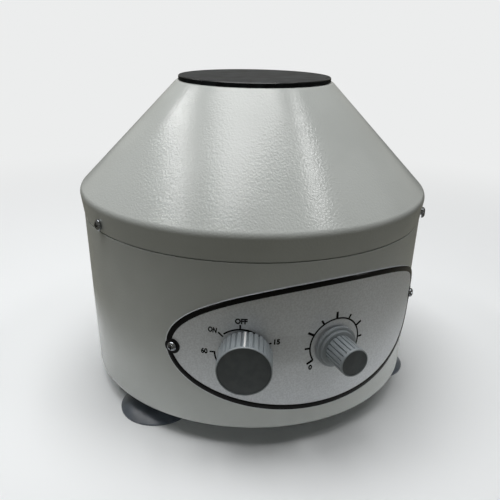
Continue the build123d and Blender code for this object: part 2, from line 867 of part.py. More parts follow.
# ================================================================ control panel
panel_radius = wall_radius(panel_height) + panel_thickness
panel_oval = [
    Vector(
        panel_half_width * cos(2 * pi * i / panel_outline_points),
        panel_half_height * sin(2 * pi * i / panel_outline_points),
    ).rotate(Axis.Z, panel_tilt)
    for i in range(panel_outline_points)
]
panel_outline = [(panel_radius * sin(p.X / panel_radius), panel_height + p.Y) for p in panel_oval]
panel_low = panel_height - max(p.Y for p in panel_oval) - panel_thickness
panel_high = panel_height + max(p.Y for p in panel_oval) + panel_thickness
with BuildPart() as control_panel:
    with BuildSketch(Plane.XZ):
        with BuildLine():
            Polyline(
                (wall_radius(panel_low), panel_low),
                (wall_radius(panel_low) + panel_thickness, panel_low),
                (wall_radius(panel_high) + panel_thickness, panel_high),
                (wall_radius(panel_high), panel_high),
                close=True,
            )
        make_face()
    revolve(axis=Axis.Z)
    with BuildSketch(Plane.XZ):
        with BuildLine():
            Spline(*panel_outline, periodic=True)
        make_face()
    extrude(amount=2 * panel_radius, mode=Mode.INTERSECT)
    with BuildSketch(*panel_seats):
        Circle(panel_screw_radius + hole_clearance)
    extrude(amount=2 * panel_thickness, both=True, mode=Mode.SUBTRACT)
    with BuildSketch(timer_seat):
        Circle(timer_bush_radius + hole_clearance)
    extrude(amount=2 * panel_thickness, both=True, mode=Mode.SUBTRACT)
    with BuildSketch(speed_seat):
        Circle(speed_bush_radius + hole_clearance)
    extrude(amount=2 * panel_thickness, both=True, mode=Mode.SUBTRACT)
control_panel.part.label = "control_panel"
export_step(control_panel.part, "parts/control_panel.step")

with BuildPart() as panel_washers:
    with BuildSketch(*[seat.offset(panel_thickness) for seat in panel_seats]):
        Circle(panel_washer_radius)
        Circle(panel_screw_radius + hole_clearance, mode=Mode.SUBTRACT)
    extrude(amount=panel_washer_thickness)
panel_washers.part.label = "panel_washers"
export_step(panel_washers.part, "parts/panel_washers.step")

panel_screw_solids = [
    pan_screw(
        seat.offset(panel_thickness + panel_washer_thickness),
        panel_screw_head_radius,
        panel_screw_head_height,
        panel_screw_radius,
        panel_screw_length,
    )
    for seat in panel_seats
]
with BuildPart() as panel_screws:
    add(panel_screw_solids)
panel_screws.part.label = "panel_screws"
export_step(panel_screws.part, "parts/panel_screws.step")

# ================================================================ timer
timer_case_face = -drum_sheet - timer_case_gap
timer_knob_base = panel_thickness + timer_knob_gap
timer_knob_face = timer_knob_base + timer_knob_length
timer_shaft_start = timer_case_face - timer_case_depth / 2
timer_disc_seat = timer_knob_face - timer_disc_recess - timer_disc_thickness

with BuildPart() as timer_case:
    with BuildSketch(timer_seat.offset(timer_case_face)):
        Circle(timer_case_radius)
    extrude(amount=-timer_case_depth)
    with BuildSketch(timer_seat.offset(timer_case_face)):
        Circle(timer_bush_radius)
    extrude(amount=timer_bush_length)
    with BuildSketch(timer_seat.offset(timer_shaft_start - running_clearance)):
        Circle(timer_shaft_radius + running_clearance)
    extrude(amount=timer_bush_length + timer_case_depth, mode=Mode.SUBTRACT)
timer_case.part.label = "timer_case"
export_step(timer_case.part, "parts/timer_case.step")

with BuildPart() as timer_shaft:
    with BuildSketch(timer_seat.offset(timer_shaft_start)):
        Circle(timer_shaft_radius)
    extrude(amount=timer_disc_seat - timer_shaft_start)
timer_shaft.part.label = "timer_shaft"
export_step(timer_shaft.part, "parts/timer_shaft.step")

timer_knob_blank = turned(
    timer_seat,
    (timer_shaft_radius, timer_knob_base + timer_knob_recess),
    (timer_knob_recess_radius, timer_knob_base + timer_knob_recess),
    (timer_knob_recess_radius, timer_knob_base),
    (timer_knob_base_radius, timer_knob_base),
    (timer_knob_face_radius, timer_knob_face - timer_knob_edge),
    (timer_knob_face_radius - timer_knob_edge, timer_knob_face),
    (timer_disc_radius, timer_knob_face),
    (timer_disc_radius, timer_disc_seat),
    (timer_shaft_radius, timer_disc_seat),
)
pointer_floor = timer_knob_face_radius - pointer_depth
pointer_groove_depth = timer_knob_base_radius - pointer_floor + pointer_depth
timer_flute_circle = timer_knob_base_radius + timer_flute_radius - timer_flute_bite
with BuildPart() as timer_knob:
    add(timer_knob_blank)
    with BuildSketch(timer_seat.offset(timer_knob_base)):
        with PolarLocations(timer_flute_circle, timer_knob_flutes, start_angle=180 / timer_knob_flutes):
            Circle(timer_flute_radius)
    extrude(amount=timer_knob_length, mode=Mode.SUBTRACT)
    with BuildSketch(timer_seat.offset(timer_knob_base)):
        with Locations((0, pointer_floor)):
            Rectangle(pointer_width, pointer_groove_depth, align=(Align.CENTER, Align.MIN))
    extrude(amount=timer_knob_length, mode=Mode.SUBTRACT)
timer_knob.part.label = "timer_knob"
export_step(timer_knob.part, "parts/timer_knob.step")

with BuildPart() as timer_knob_disc:
    with BuildSketch(timer_seat.offset(timer_disc_seat)):
        Circle(timer_disc_radius)
    extrude(amount=timer_disc_thickness)
timer_knob_disc.part.label = "timer_knob_disc"
export_step(timer_knob_disc.part, "parts/timer_knob_disc.step")

with BuildPart() as timer_pointer:
    with BuildSketch(timer_seat.offset(timer_knob_base)):
        with Locations((0, pointer_floor)):
            Rectangle(pointer_width, pointer_depth, align=(Align.CENTER, Align.MIN))
    extrude(amount=timer_knob_length - timer_knob_edge)
timer_pointer.part.label = "timer_pointer"
export_step(timer_pointer.part, "parts/timer_pointer.step")

# ================================================================ speed control
speed_case_face = -drum_sheet - speed_case_gap
speed_knob_base = panel_thickness + speed_knob_gap
speed_knob_face = speed_knob_base + speed_knob_length
speed_skirt_top = speed_knob_base + speed_skirt_height
speed_step_top = speed_skirt_top + speed_step_height
speed_shaft_start = speed_case_face - speed_case_depth / 2
speed_disc_seat = speed_knob_face - speed_disc_recess - speed_disc_thickness

with BuildPart() as speed_control:
    with BuildSketch(speed_seat.offset(speed_case_face)):
        Circle(speed_case_radius)
    extrude(amount=-speed_case_depth)
    with BuildSketch(speed_seat.offset(speed_case_face)):
        Circle(speed_bush_radius)
    extrude(amount=speed_bush_length)
    with BuildSketch(speed_seat.offset(speed_shaft_start - running_clearance)):
        Circle(speed_shaft_radius + running_clearance)
    extrude(amount=speed_bush_length + speed_case_depth, mode=Mode.SUBTRACT)
speed_control.part.label = "speed_control"
export_step(speed_control.part, "parts/speed_control.step")

control_nut_solids = [
    hex_nut(timer_seat.offset(panel_thickness), timer_nut_radius, timer_nut_height, timer_bush_radius),
    hex_nut(speed_seat.offset(panel_thickness), speed_nut_radius, speed_nut_height, speed_bush_radius),
]
with BuildPart() as control_nuts:
    add(control_nut_solids)
control_nuts.part.label = "control_nuts"
export_step(control_nuts.part, "parts/control_nuts.step")

with BuildPart() as speed_shaft:
    with BuildSketch(speed_seat.offset(speed_shaft_start)):
        Circle(speed_shaft_radius)
    extrude(amount=speed_disc_seat - speed_shaft_start)
speed_shaft.part.label = "speed_shaft"
export_step(speed_shaft.part, "parts/speed_shaft.step")

speed_knob_blank = turned(
    speed_seat,
    (speed_shaft_radius, speed_knob_base + speed_knob_recess),
    (speed_knob_recess_radius, speed_knob_base + speed_knob_recess),
    (speed_knob_recess_radius, speed_knob_base),
    (speed_skirt_radius, speed_knob_base),
    (speed_skirt_radius, speed_skirt_top),
    (speed_step_radius, speed_skirt_top),
    (speed_step_radius, speed_step_top),
    (speed_body_radius, speed_step_top),
    (speed_face_radius, speed_knob_face),
    (speed_disc_radius, speed_knob_face),
    (speed_disc_radius, speed_disc_seat),
    (speed_shaft_radius, speed_disc_seat),
)
speed_flute_circle = speed_body_radius + speed_flute_radius - speed_flute_bite
with BuildPart() as speed_knob:
    add(speed_knob_blank)
    with BuildSketch(speed_seat.offset(speed_step_top)):
        with PolarLocations(speed_flute_circle, speed_knob_flutes, start_angle=180 / speed_knob_flutes):
            Circle(speed_flute_radius)
    extrude(amount=speed_knob_length, mode=Mode.SUBTRACT)
speed_knob.part.label = "speed_knob"
export_step(speed_knob.part, "parts/speed_knob.step")

with BuildPart() as speed_knob_disc:
    with BuildSketch(speed_seat.offset(speed_disc_seat)):
        Circle(speed_disc_radius)
    extrude(amount=speed_disc_thickness)
speed_knob_disc.part.label = "speed_knob_disc"
export_step(speed_knob_disc.part, "parts/speed_knob_disc.step")

# ================================================================ motor, fixed side
def at_height(height):
    """Plane square to the spin axis at a height."""
    return Plane.XY.offset(height)


isolator_solids = [
    turned(
        seat,
        (isolator_bolt_radius, 0),
        (isolator_radius, 0),
        (isolator_radius, isolator_height * 0.25),
        (isolator_waist_radius, isolator_height * 0.38),
        (isolator_waist_radius, isolator_height * 0.62),
        (isolator_radius, isolator_height * 0.75),
        (isolator_radius, isolator_height),
        (isolator_bolt_radius, isolator_height),
    )
    for seat in isolator_seats
]
with BuildPart() as rubber_isolators:
    add(isolator_solids)
rubber_isolators.part.label = "rubber_isolators"
export_step(rubber_isolators.part, "parts/rubber_isolators.step")

isolator_stack = drum_sheet + isolator_height + motor_plate_sheet
isolator_bolt_length = isolator_stack + stud_nut_height + 1.5 * stud_radius
isolator_bolt_solids = [
    pan_screw(
        Plane(origin=seat.origin - Vector(0, 0, drum_sheet), x_dir=(1, 0, 0), z_dir=(0, 0, -1)),
        isolator_bolt_head_radius,
        isolator_bolt_head_height,
        isolator_bolt_radius,
        isolator_bolt_length,
    )
    for seat in isolator_seats
]
isolator_nut_solids = [
    hex_nut(
        seat.offset(isolator_height + motor_plate_sheet),
        stud_nut_radius,
        stud_nut_height,
        isolator_bolt_radius,
    )
    for seat in isolator_seats
]
motor_screw_seats = [
    Plane(
        origin=outward(45 + 90 * i) * motor_screw_circle + Vector(0, 0, motor_plate_bottom),
        x_dir=(1, 0, 0),
        z_dir=(0, 0, -1),
    )
    for i in range(4)
]
with BuildPart() as motor_plate:
    with BuildSketch(at_height(motor_plate_bottom)):
        Circle(motor_plate_radius)
        Circle(motor_plate_hole, mode=Mode.SUBTRACT)
    extrude(amount=motor_plate_sheet)
    with BuildSketch(*isolator_seats):
        Circle(isolator_bolt_radius)
    extrude(amount=isolator_height + 2 * motor_plate_sheet, mode=Mode.SUBTRACT)
    with BuildSketch(*motor_screw_seats):
        Circle(motor_screw_radius)
    extrude(amount=-2 * motor_plate_sheet, mode=Mode.SUBTRACT)
motor_plate.part.label = "motor_plate"
export_step(motor_plate.part, "parts/motor_plate.step")

lower_seat = motor_plate_top + bell_wall
lower_bell_solid = turned(
    Plane.XY,
    (0, motor_plate_top),
    (motor_radius, motor_plate_top),
    (motor_radius, can_bottom),
    (motor_radius - bell_wall, can_bottom),
    (motor_radius - bell_wall, lower_seat),
    (bell_neck_radius, lower_seat),
    (bell_neck_radius, lower_seat + bearing_width),
    (bearing_radius, lower_seat + bearing_width),
    (bearing_radius, lower_seat),
    (0, lower_seat),
)
with BuildPart() as lower_bell:
    add(lower_bell_solid)
    with BuildSketch(*motor_screw_seats):
        Circle(motor_screw_radius)
    extrude(amount=-motor_screw_length, mode=Mode.SUBTRACT)
lower_bell.part.label = "lower_bell"
export_step(lower_bell.part, "parts/lower_bell.step")

motor_screw_solids = [
    pan_screw(
        seat,
        motor_screw_head_radius,
        motor_screw_head_height,
        motor_screw_radius,
        motor_screw_length,
    )
    for seat in motor_screw_seats
]
with BuildPart() as motor_fixings:
    add(isolator_bolt_solids)
    add(isolator_nut_solids)
    add(motor_screw_solids)
motor_fixings.part.label = "motor_fixings"
export_step(motor_fixings.part, "parts/motor_fixings.step")

with BuildPart() as motor_can:
    with BuildSketch(at_height(can_bottom)):
        Circle(motor_radius)
        Circle(motor_radius - motor_sheet, mode=Mode.SUBTRACT)
    extrude(amount=can_height)
motor_can.part.label = "motor_can"
export_step(motor_can.part, "parts/motor_can.step")

upper_seat = motor_top - motor_sheet - bearing_width
shaft_opening = shaft_radius + bell_shaft_clearance
upper_bell_solid = turned(
    Plane.XY,
    (motor_radius - bell_wall, can_top),
    (motor_radius, can_top),
    (motor_radius, motor_top - bell_wall / 2),
    (motor_radius - bell_wall / 2, motor_top),
    (shaft_opening, motor_top),
    (shaft_opening, motor_top - motor_sheet),
    (bearing_radius, motor_top - motor_sheet),
    (bearing_radius, upper_seat),
    (bell_neck_radius, upper_seat),
    (bell_neck_radius, motor_top - bell_wall),
    (motor_radius - bell_wall, motor_top - bell_wall),
)
with BuildPart() as upper_bell:
    add(upper_bell_solid)
upper_bell.part.label = "upper_bell"
export_step(upper_bell.part, "parts/upper_bell.step")

with BuildPart() as ball_bearings:
    with BuildSketch(at_height(lower_seat), at_height(upper_seat)):
        Circle(bearing_radius)
        Circle(shaft_radius + running_clearance, mode=Mode.SUBTRACT)
    extrude(amount=bearing_width)
ball_bearings.part.label = "ball_bearings"
export_step(ball_bearings.part, "parts/ball_bearings.step")

with BuildPart() as stator_core:
    with BuildSketch(at_height(stator_bottom)):
        Circle(motor_radius - motor_sheet)
        Circle(stator_bore, mode=Mode.SUBTRACT)
    extrude(amount=stator_height)
stator_core.part.label = "stator_core"
export_step(stator_core.part, "parts/stator_core.step")

coil_middle_radius = (coil_inner_radius + coil_outer_radius) / 2
with BuildPart() as field_coils:
    for coil_base in (stator_bottom - coil_height, stator_top):
        for coil_middle in (0, 180):
            with BuildSketch(Plane.XZ.rotated((0, 0, coil_middle - coil_sweep / 2))):
                with Locations((coil_middle_radius, coil_base + coil_height / 2)):
                    Rectangle(coil_outer_radius - coil_inner_radius, coil_height)
            revolve(axis=Axis.Z, revolution_arc=coil_sweep)
field_coils.part.label = "field_coils"
export_step(field_coils.part, "parts/field_coils.step")

commutator_bottom = can_bottom + commutator_start
brush_height = commutator_bottom + commutator_height / 2
brush_start = commutator_radius + brush_gap
holder_end = motor_radius - motor_sheet - brush_gap * 3
brush_angles = (90, 270)
with BuildPart() as brush_holders:
    with BuildSketch(*[radial_plane(a, holder_start, brush_height) for a in brush_angles]):
        Rectangle(brush_width + 2 * holder_wall, brush_width + 2 * holder_wall)
        Rectangle(brush_width, brush_width, mode=Mode.SUBTRACT)
    extrude(amount=holder_end - holder_start)
brush_holders.part.label = "brush_holders"
export_step(brush_holders.part, "parts/brush_holders.step")

with BuildPart() as carbon_brushes:
    with BuildSketch(*[radial_plane(a, brush_start, brush_height) for a in brush_angles]):
        Rectangle(brush_width, brush_width)
    extrude(amount=brush_length)
carbon_brushes.part.label = "carbon_brushes"
export_step(carbon_brushes.part, "parts/carbon_brushes.step")

# ================================================================ rotating side
shaft_bottom = lower_seat + running_clearance
hub_bore = shaft_radius + hub_bore_clearance
shaft_top = hub_top_height + rotor_nut_height * 0.8
with BuildPart() as rotor_shaft:
    with BuildSketch(at_height(shaft_bottom)):
        Circle(shaft_radius)
    extrude(amount=shaft_top - shaft_bottom)
    with BuildSketch(at_height(hub_bottom_height - shaft_collar_height)):
        Circle(shaft_collar_radius)
    extrude(amount=shaft_collar_height)
rotor_shaft.part.label = "rotor_shaft"
export_step(rotor_shaft.part, "parts/rotor_shaft.step")

with BuildPart() as commutator:
    with BuildSketch(at_height(commutator_bottom)):
        Circle(commutator_radius)
        Circle(shaft_radius, mode=Mode.SUBTRACT)
    extrude(amount=commutator_height)
commutator.part.label = "commutator"
export_step(commutator.part, "parts/commutator.step")

armature_radius = stator_bore - armature_gap
with BuildPart() as armature_core:
    with BuildSketch(at_height(stator_bottom)):
        Circle(armature_radius)
        Circle(shaft_radius, mode=Mode.SUBTRACT)
        with PolarLocations(armature_radius, armature_slots):
            Rectangle(3 * armature_gap, 3 * armature_gap, mode=Mode.SUBTRACT)
    extrude(amount=stator_height)
armature_core.part.label = "armature_core"
export_step(armature_core.part, "parts/armature_core.step")

winding_edge = winding_height / 3
winding_solids = [
    turned(
        Plane(origin=(0, 0, base), x_dir=(1, 0, 0), z_dir=(0, 0, way)),
        (shaft_radius, 0),
        (winding_radius, 0),
        (winding_radius, winding_height - winding_edge),
        (winding_radius - winding_edge, winding_height),
        (shaft_radius, winding_height),
    )
    for base, way in ((stator_bottom, -1), (stator_top, 1))
]
with BuildPart() as armature_windings:
    add(winding_solids)
armature_windings.part.label = "armature_windings"
export_step(armature_windings.part, "parts/armature_windings.step")

with BuildPart() as cooling_fan:
    with BuildSketch(at_height(motor_top + fan_gap)):
        Circle(fan_radius)
    extrude(amount=fan_blade_thickness)
    with BuildSketch(at_height(motor_top + fan_gap)):
        Circle(fan_hub_radius)
        with PolarLocations((fan_hub_radius + fan_radius) / 2 - fan_blade_thickness, fan_blades):
            Rectangle(fan_radius - fan_hub_radius, fan_blade_thickness)
    extrude(amount=fan_height)
    with BuildSketch(at_height(motor_top)):
        Circle(shaft_radius)
    extrude(amount=fan_gap + 2 * fan_height, mode=Mode.SUBTRACT)
cooling_fan.part.label = "cooling_fan"
export_step(cooling_fan.part, "parts/cooling_fan.step")

tilt_out = sin(radians(tube_tilt))
tilt_down = cos(radians(tube_tilt))


def tube_point(across, depth):
    """(radius, height) of a point across a tube's axis, away from the spin axis, and down the tube."""
    return (
        tube_mouth_radius + across * tilt_down + depth * tilt_out,
        tube_mouth_height + across * tilt_out - depth * tilt_down,
    )


sleeve_radius = sleeve_bore_radius + sleeve_wall
pocket_outer = pocket_radius + sleeve_floor
pocket_bottom = -sleeve_length - pocket_depth
head_hole_radius = sleeve_radius + head_hole_clearance
rotor_head_solid = turned(
    Plane.XY,
    (hub_bore, hub_bottom_height),
    (hub_radius, hub_bottom_height),
    tube_point(-head_inner_width, head_thickness - head_dish_rise),
    tube_point(head_rim_width, head_thickness - head_dish_rise),
    tube_point(head_rim_width, -head_dish_rise),
    tube_point(-head_inner_width, -head_dish_rise),
    (hub_radius, hub_top_height),
    (hub_bore, hub_top_height),
)
with BuildPart() as rotor_head:
    add(rotor_head_solid)
    with BuildSketch(*mouth_planes):
        Circle(head_hole_radius)
    extrude(amount=2 * head_thickness, both=True, mode=Mode.SUBTRACT)
    with BuildSketch(*mouth_planes):
        Circle(sleeve_rim_radius + head_seat_clearance)
    extrude(amount=head_thickness, mode=Mode.SUBTRACT)
rotor_head.part.label = "rotor_head"
export_step(rotor_head.part, "parts/rotor_head.step")

sleeve_solids = [
    turned(
        plane,
        (0, pocket_bottom - sleeve_floor),
        (pocket_outer, pocket_bottom - sleeve_floor),
        (pocket_outer, -sleeve_length - sleeve_floor),
        (sleeve_radius, -sleeve_length - sleeve_floor),
        (sleeve_radius, 0),
        (sleeve_rim_radius, 0),
        (sleeve_rim_radius, sleeve_rim_height),
        (sleeve_bore_radius, sleeve_rim_height),
        (sleeve_bore_radius, -sleeve_length),
        (pocket_radius, -sleeve_length),
        (pocket_radius, pocket_bottom),
        (0, pocket_bottom),
    )
    for plane in mouth_planes
]
with BuildPart() as tube_sleeves:
    add(sleeve_solids)
tube_sleeves.part.label = "tube_sleeves"
export_step(tube_sleeves.part, "parts/tube_sleeves.step")

with BuildPart() as sleeve_cushions:
    with BuildSketch(*[plane.offset(pocket_bottom) for plane in mouth_planes]):
        Circle(pocket_radius - cushion_clearance)
    extrude(amount=pocket_depth - cushion_clearance)
sleeve_cushions.part.label = "sleeve_cushions"
export_step(sleeve_cushions.part, "parts/sleeve_cushions.step")

with BuildPart() as rotor_nut:
    with BuildSketch(at_height(hub_top_height)):
        RegularPolygon(rotor_nut_radius, 6)
    extrude(amount=rotor_nut_height)
    chamfer(rotor_nut.edges().group_by(Axis.Z)[-1], length=rotor_nut_radius * 0.1)
    with BuildSketch(at_height(hub_top_height)):
        Circle(shaft_radius)
    extrude(amount=shaft_top - hub_top_height, mode=Mode.SUBTRACT)
rotor_nut.part.label = "rotor_nut"
export_step(rotor_nut.part, "parts/rotor_nut.step")

# ================================================================ control board
bracket_inner = board_radius - bracket_plate_sheet
board_outer_face = bracket_inner - standoff_length
board_inner_face = board_outer_face - board_thickness
board_bottom = floor_top + board_lift
board_middle = board_bottom + board_height / 2
board_plane = radial_plane(board_angle, board_inner_face, board_middle)
board_corners = [
    (x * (board_width / 2 - standoff_inset), y * (board_height / 2 - standoff_inset))
    for x in (-1, 1)
    for y in (-1, 1)
]
bracket_height = board_lift + board_height
with BuildPart() as board_bracket:
    with BuildSketch(radial_plane(board_angle, bracket_inner, floor_top + bracket_height / 2)):
        Rectangle(board_width, bracket_height)
    extrude(amount=bracket_plate_sheet)
    with BuildSketch(radial_plane(board_angle, bracket_inner, floor_top + bracket_plate_sheet / 2)):
        Rectangle(board_width, bracket_plate_sheet)
    extrude(amount=-bracket_foot_depth)
    with BuildSketch(board_plane.offset(board_thickness)):
        with Locations(*board_corners):
            Circle(standoff_radius)
    extrude(amount=standoff_length)
    with BuildSketch(board_plane):
        with Locations(*board_corners):
            Circle(standoff_radius / 2)
    extrude(amount=board_thickness)
board_bracket.part.label = "board_bracket"
export_step(board_bracket.part, "parts/board_bracket.step")

with BuildPart() as control_board:
    with BuildSketch(board_plane):
        Rectangle(board_width, board_height)
        with Locations(*board_corners):
            Circle(standoff_radius / 2, mode=Mode.SUBTRACT)
    extrude(amount=board_thickness)
control_board.part.label = "control_board"
export_step(control_board.part, "parts/control_board.step")

sink_place = (-board_width / 4, board_height / 6)
fin_pitch = sink_width / sink_fins
with BuildPart() as heat_sink:
    with BuildSketch(board_plane):
        with Locations(sink_place):
            Rectangle(sink_width, sink_height)
    extrude(amount=-sink_base)
    with BuildSketch(board_plane.offset(-sink_base)):
        with Locations(sink_place):
            with GridLocations(fin_pitch, 0, sink_fins, 1):
                Rectangle(fin_pitch / 2, sink_height)
    extrude(amount=-(sink_depth - sink_base))
heat_sink.part.label = "heat_sink"
export_step(heat_sink.part, "parts/heat_sink.step")

terminal_row = (terminal_height - board_height) / 2 + terminal_edge
terminal_pitch = terminal_width / terminal_ways
with BuildPart() as board_components:
    with BuildSketch(board_plane):
        with Locations((sink_place[0] + (sink_width + triac_width) / 2, sink_place[1])):
            Rectangle(triac_width, triac_height)
    extrude(amount=-triac_depth)
    with BuildSketch(board_plane):
        with Locations((board_width / 4, sink_place[1])):
            Circle(capacitor_radius)
    extrude(amount=-capacitor_length)
    with BuildSketch(board_plane):
        with Locations((0, terminal_row)):
            Rectangle(terminal_width, terminal_height)
    extrude(amount=-terminal_depth)
    with BuildSketch(board_plane.offset(-terminal_depth)):
        with Locations((0, terminal_row)):
            with GridLocations(terminal_pitch, 0, terminal_ways, 1):
                Circle(terminal_hole_radius)
    extrude(amount=terminal_depth / 2, mode=Mode.SUBTRACT)
board_components.part.label = "board_components"
export_step(board_components.part, "parts/board_components.step")

# ================================================================ mains entry
gland_neck_top = gland_flange_height + gland_neck_length
gland_seal_bottom = gland_neck_top - gland_seal_height
gland_entry_radius = gland_cable_radius + gland_entry_margin
with BuildPart() as gland_body:
    with BuildSketch(gland_seat.offset(-gland_thread_length)):
        Circle(gland_thread_radius)
    extrude(amount=gland_thread_length)
    with BuildSketch(gland_seat):
        RegularPolygon(gland_flange_radius, 6)
    extrude(amount=gland_flange_height)
    with BuildSketch(gland_seat):
        Circle(gland_neck_radius)
    extrude(amount=gland_neck_top)
    with BuildSketch(gland_seat.offset(-gland_thread_length)):
        Circle(gland_entry_radius)
    extrude(amount=gland_thread_length + gland_neck_top, mode=Mode.SUBTRACT)
    with BuildSketch(gland_seat.offset(gland_seal_bottom)):
        Circle(gland_seal_radius)
    extrude(amount=gland_seal_height, mode=Mode.SUBTRACT)
gland_body.part.label = "gland_body"
export_step(gland_body.part, "parts/gland_body.step")

with BuildPart() as gland_seal:
    with BuildSketch(gland_seat.offset(gland_seal_bottom)):
        Circle(gland_seal_radius)
        Circle(gland_cable_radius, mode=Mode.SUBTRACT)
    extrude(amount=gland_seal_height)
gland_seal.part.label = "gland_seal"
export_step(gland_seal.part, "parts/gland_seal.step")

dome_bottom = gland_flange_height + gland_dome_gap
dome_waist = dome_bottom + gland_dome_length / 2
dome_top = dome_bottom + gland_dome_length
with BuildPart() as gland_dome_nut:
    with BuildSketch(section_plane(gland_seat)):
        with BuildLine():
            Line((gland_neck_radius, dome_bottom), (gland_dome_radius, dome_bottom))
            Line((gland_dome_radius, dome_bottom), (gland_dome_radius, dome_waist))
            ThreePointArc(
                (gland_dome_radius, dome_waist),
                (gland_dome_radius * 0.86, dome_bottom + gland_dome_length * 0.83),
                (gland_entry_radius + 1, dome_top),
            )
            Line((gland_entry_radius + 1, dome_top), (gland_entry_radius, dome_top))
            Line((gland_entry_radius, dome_top), (gland_entry_radius, gland_neck_top + gland_dome_gap))
            Line(
                (gland_entry_radius, gland_neck_top + gland_dome_gap),
                (gland_neck_radius, gland_neck_top + gland_dome_gap),
            )
            Line((gland_neck_radius, gland_neck_top + gland_dome_gap), (gland_neck_radius, dome_bottom))
        make_face()
    revolve(axis=Axis(gland_seat.origin, gland_seat.z_dir))
gland_dome_nut.part.label = "gland_dome_nut"
export_step(gland_dome_nut.part, "parts/gland_dome_nut.step")

with BuildPart() as fuse_holder:
    with BuildSketch(fuse_seat):
        Circle(fuse_flange_radius)
    extrude(amount=fuse_flange_height)
    with BuildSketch(fuse_seat):
        Circle(fuse_body_radius)
    extrude(amount=-fuse_body_length)
    with BuildSketch(fuse_seat.offset(fuse_flange_height)):
        Circle(fuse_bore_radius)
    extrude(amount=-(fuse_body_length + fuse_flange_height - 2 * drum_sheet), mode=Mode.SUBTRACT)
fuse_holder.part.label = "fuse_holder"
export_step(fuse_holder.part, "parts/fuse_holder.step")

gland_nut_start = -drum_sheet - gland_wall_gap - gland_nut_height
fuse_nut_start = -drum_sheet - fuse_wall_gap - fuse_nut_height
entry_nut_solids = [
    hex_nut(gland_seat.offset(gland_nut_start), gland_nut_radius, gland_nut_height, gland_thread_radius),
    hex_nut(fuse_seat.offset(fuse_nut_start), fuse_nut_radius, fuse_nut_height, fuse_body_radius),
]
with BuildPart() as entry_nuts:
    add(entry_nut_solids)
entry_nuts.part.label = "entry_nuts"
export_step(entry_nuts.part, "parts/entry_nuts.step")

fuse_cap_base = fuse_flange_height + fuse_cap_gap
with BuildPart() as fuse_cap:
    with BuildSketch(fuse_seat.offset(fuse_cap_base)):
        Circle(fuse_cap_radius)
        with PolarLocations(fuse_cap_radius, fuse_cap_grooves):
            Circle(fuse_cap_groove_radius, mode=Mode.SUBTRACT)
    extrude(amount=fuse_cap_length)
    with BuildSketch(fuse_seat.offset(fuse_cap_base)):
        Circle(fuse_plug_radius)
    extrude(amount=-fuse_plug_length)
    with BuildSketch(fuse_seat.offset(fuse_cap_base + fuse_cap_length)):
        Rectangle(1.5 * fuse_cap_radius, 2 * fuse_cap_groove_radius)
    extrude(amount=-2 * fuse_cap_groove_radius, mode=Mode.SUBTRACT)
fuse_cap.part.label = "fuse_cap"
export_step(fuse_cap.part, "parts/fuse_cap.step")

with BuildPart() as glass_fuse:
    with BuildSketch(fuse_seat.offset(fuse_cap_base - fuse_plug_length)):
        Circle(fuse_tube_radius)
    extrude(amount=-fuse_tube_length)
glass_fuse.part.label = "glass_fuse"
export_step(glass_fuse.part, "parts/glass_fuse.step")
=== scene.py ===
"""Bench centrifuge: finishes, dials and detailed pieces round its fixed CAD frame.

The file is laid out as a Blender add-on and is run as a script. Lengths are in metres, in the
frame of the machine: +Z up the spin axis, the front towards -Y. Angles round the housing are
measured from the front towards +X, and angles on a dial clockwise from its top.
"""

import json
from math import atan2, cos, pi, radians, sin, tan

import bmesh
import bpy
from bpy.props import FloatProperty, FloatVectorProperty, IntProperty, PointerProperty
from mathutils import Matrix, Vector


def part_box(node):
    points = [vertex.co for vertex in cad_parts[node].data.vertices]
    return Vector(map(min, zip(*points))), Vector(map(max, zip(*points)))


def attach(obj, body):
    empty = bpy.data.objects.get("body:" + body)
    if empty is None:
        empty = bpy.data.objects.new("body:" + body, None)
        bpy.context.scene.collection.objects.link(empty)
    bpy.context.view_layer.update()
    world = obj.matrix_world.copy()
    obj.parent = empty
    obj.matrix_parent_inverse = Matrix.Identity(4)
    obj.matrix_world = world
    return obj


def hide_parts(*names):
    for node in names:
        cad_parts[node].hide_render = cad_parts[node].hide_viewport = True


bl_info = {
    "name": "Bench Centrifuge",
    "version": (1, 0, 0),
    "blender": (4, 5, 0),
    "location": "View3D > Sidebar > Centrifuge",
    "description": "Finishes, dials and detailed pieces for a bench centrifuge",
    "category": "Object",
}

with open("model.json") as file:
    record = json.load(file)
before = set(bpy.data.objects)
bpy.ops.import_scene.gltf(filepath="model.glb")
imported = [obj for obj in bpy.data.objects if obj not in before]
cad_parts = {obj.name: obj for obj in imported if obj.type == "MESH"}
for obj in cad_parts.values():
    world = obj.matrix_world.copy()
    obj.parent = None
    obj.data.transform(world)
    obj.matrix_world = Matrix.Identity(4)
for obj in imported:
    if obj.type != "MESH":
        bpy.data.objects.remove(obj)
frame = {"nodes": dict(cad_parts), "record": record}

MM = 0.001
COVER_LOW, COVER_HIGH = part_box("cone_cover")
DRUM_LOW, DRUM_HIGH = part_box("base_drum")

# Edges that turn by more than this stay sharp.
SHARP_ANGLE = radians(32)
BORDER_SHARP_ANGLE = radians(60)

# Faces round the turned shells, the knobs' caps and the panel's oval.
ROUND_SEGMENTS = 256
CAP_SEGMENTS = 128
OVAL_SEGMENTS = 240

# Screen print: thickness of the ink, and the step along a printed arc.
PRINT_THICKNESS = 0.06 * MM
ARC_STEP = radians(3)

# Letters: a capital's share of its type size, its strokes' thickening as a share of its height,
# and how near its corners are joined.
LETTER_SHARE = 0.72
LETTER_WEIGHT = 0.07
LETTER_WELD = 0.01 * MM

# Steps across half a knob's groove, as shares of its half width. Its section is a parabola.
GROOVE_SHARES = (0, 0.3, 0.6, 0.85, 1.0)

# Numbers of the colour sockets of a Mix node, whose names repeat for each type of data.
MIX_SHARE, MIX_FIRST, MIX_SECOND, MIX_RESULT = 0, 6, 7, 2


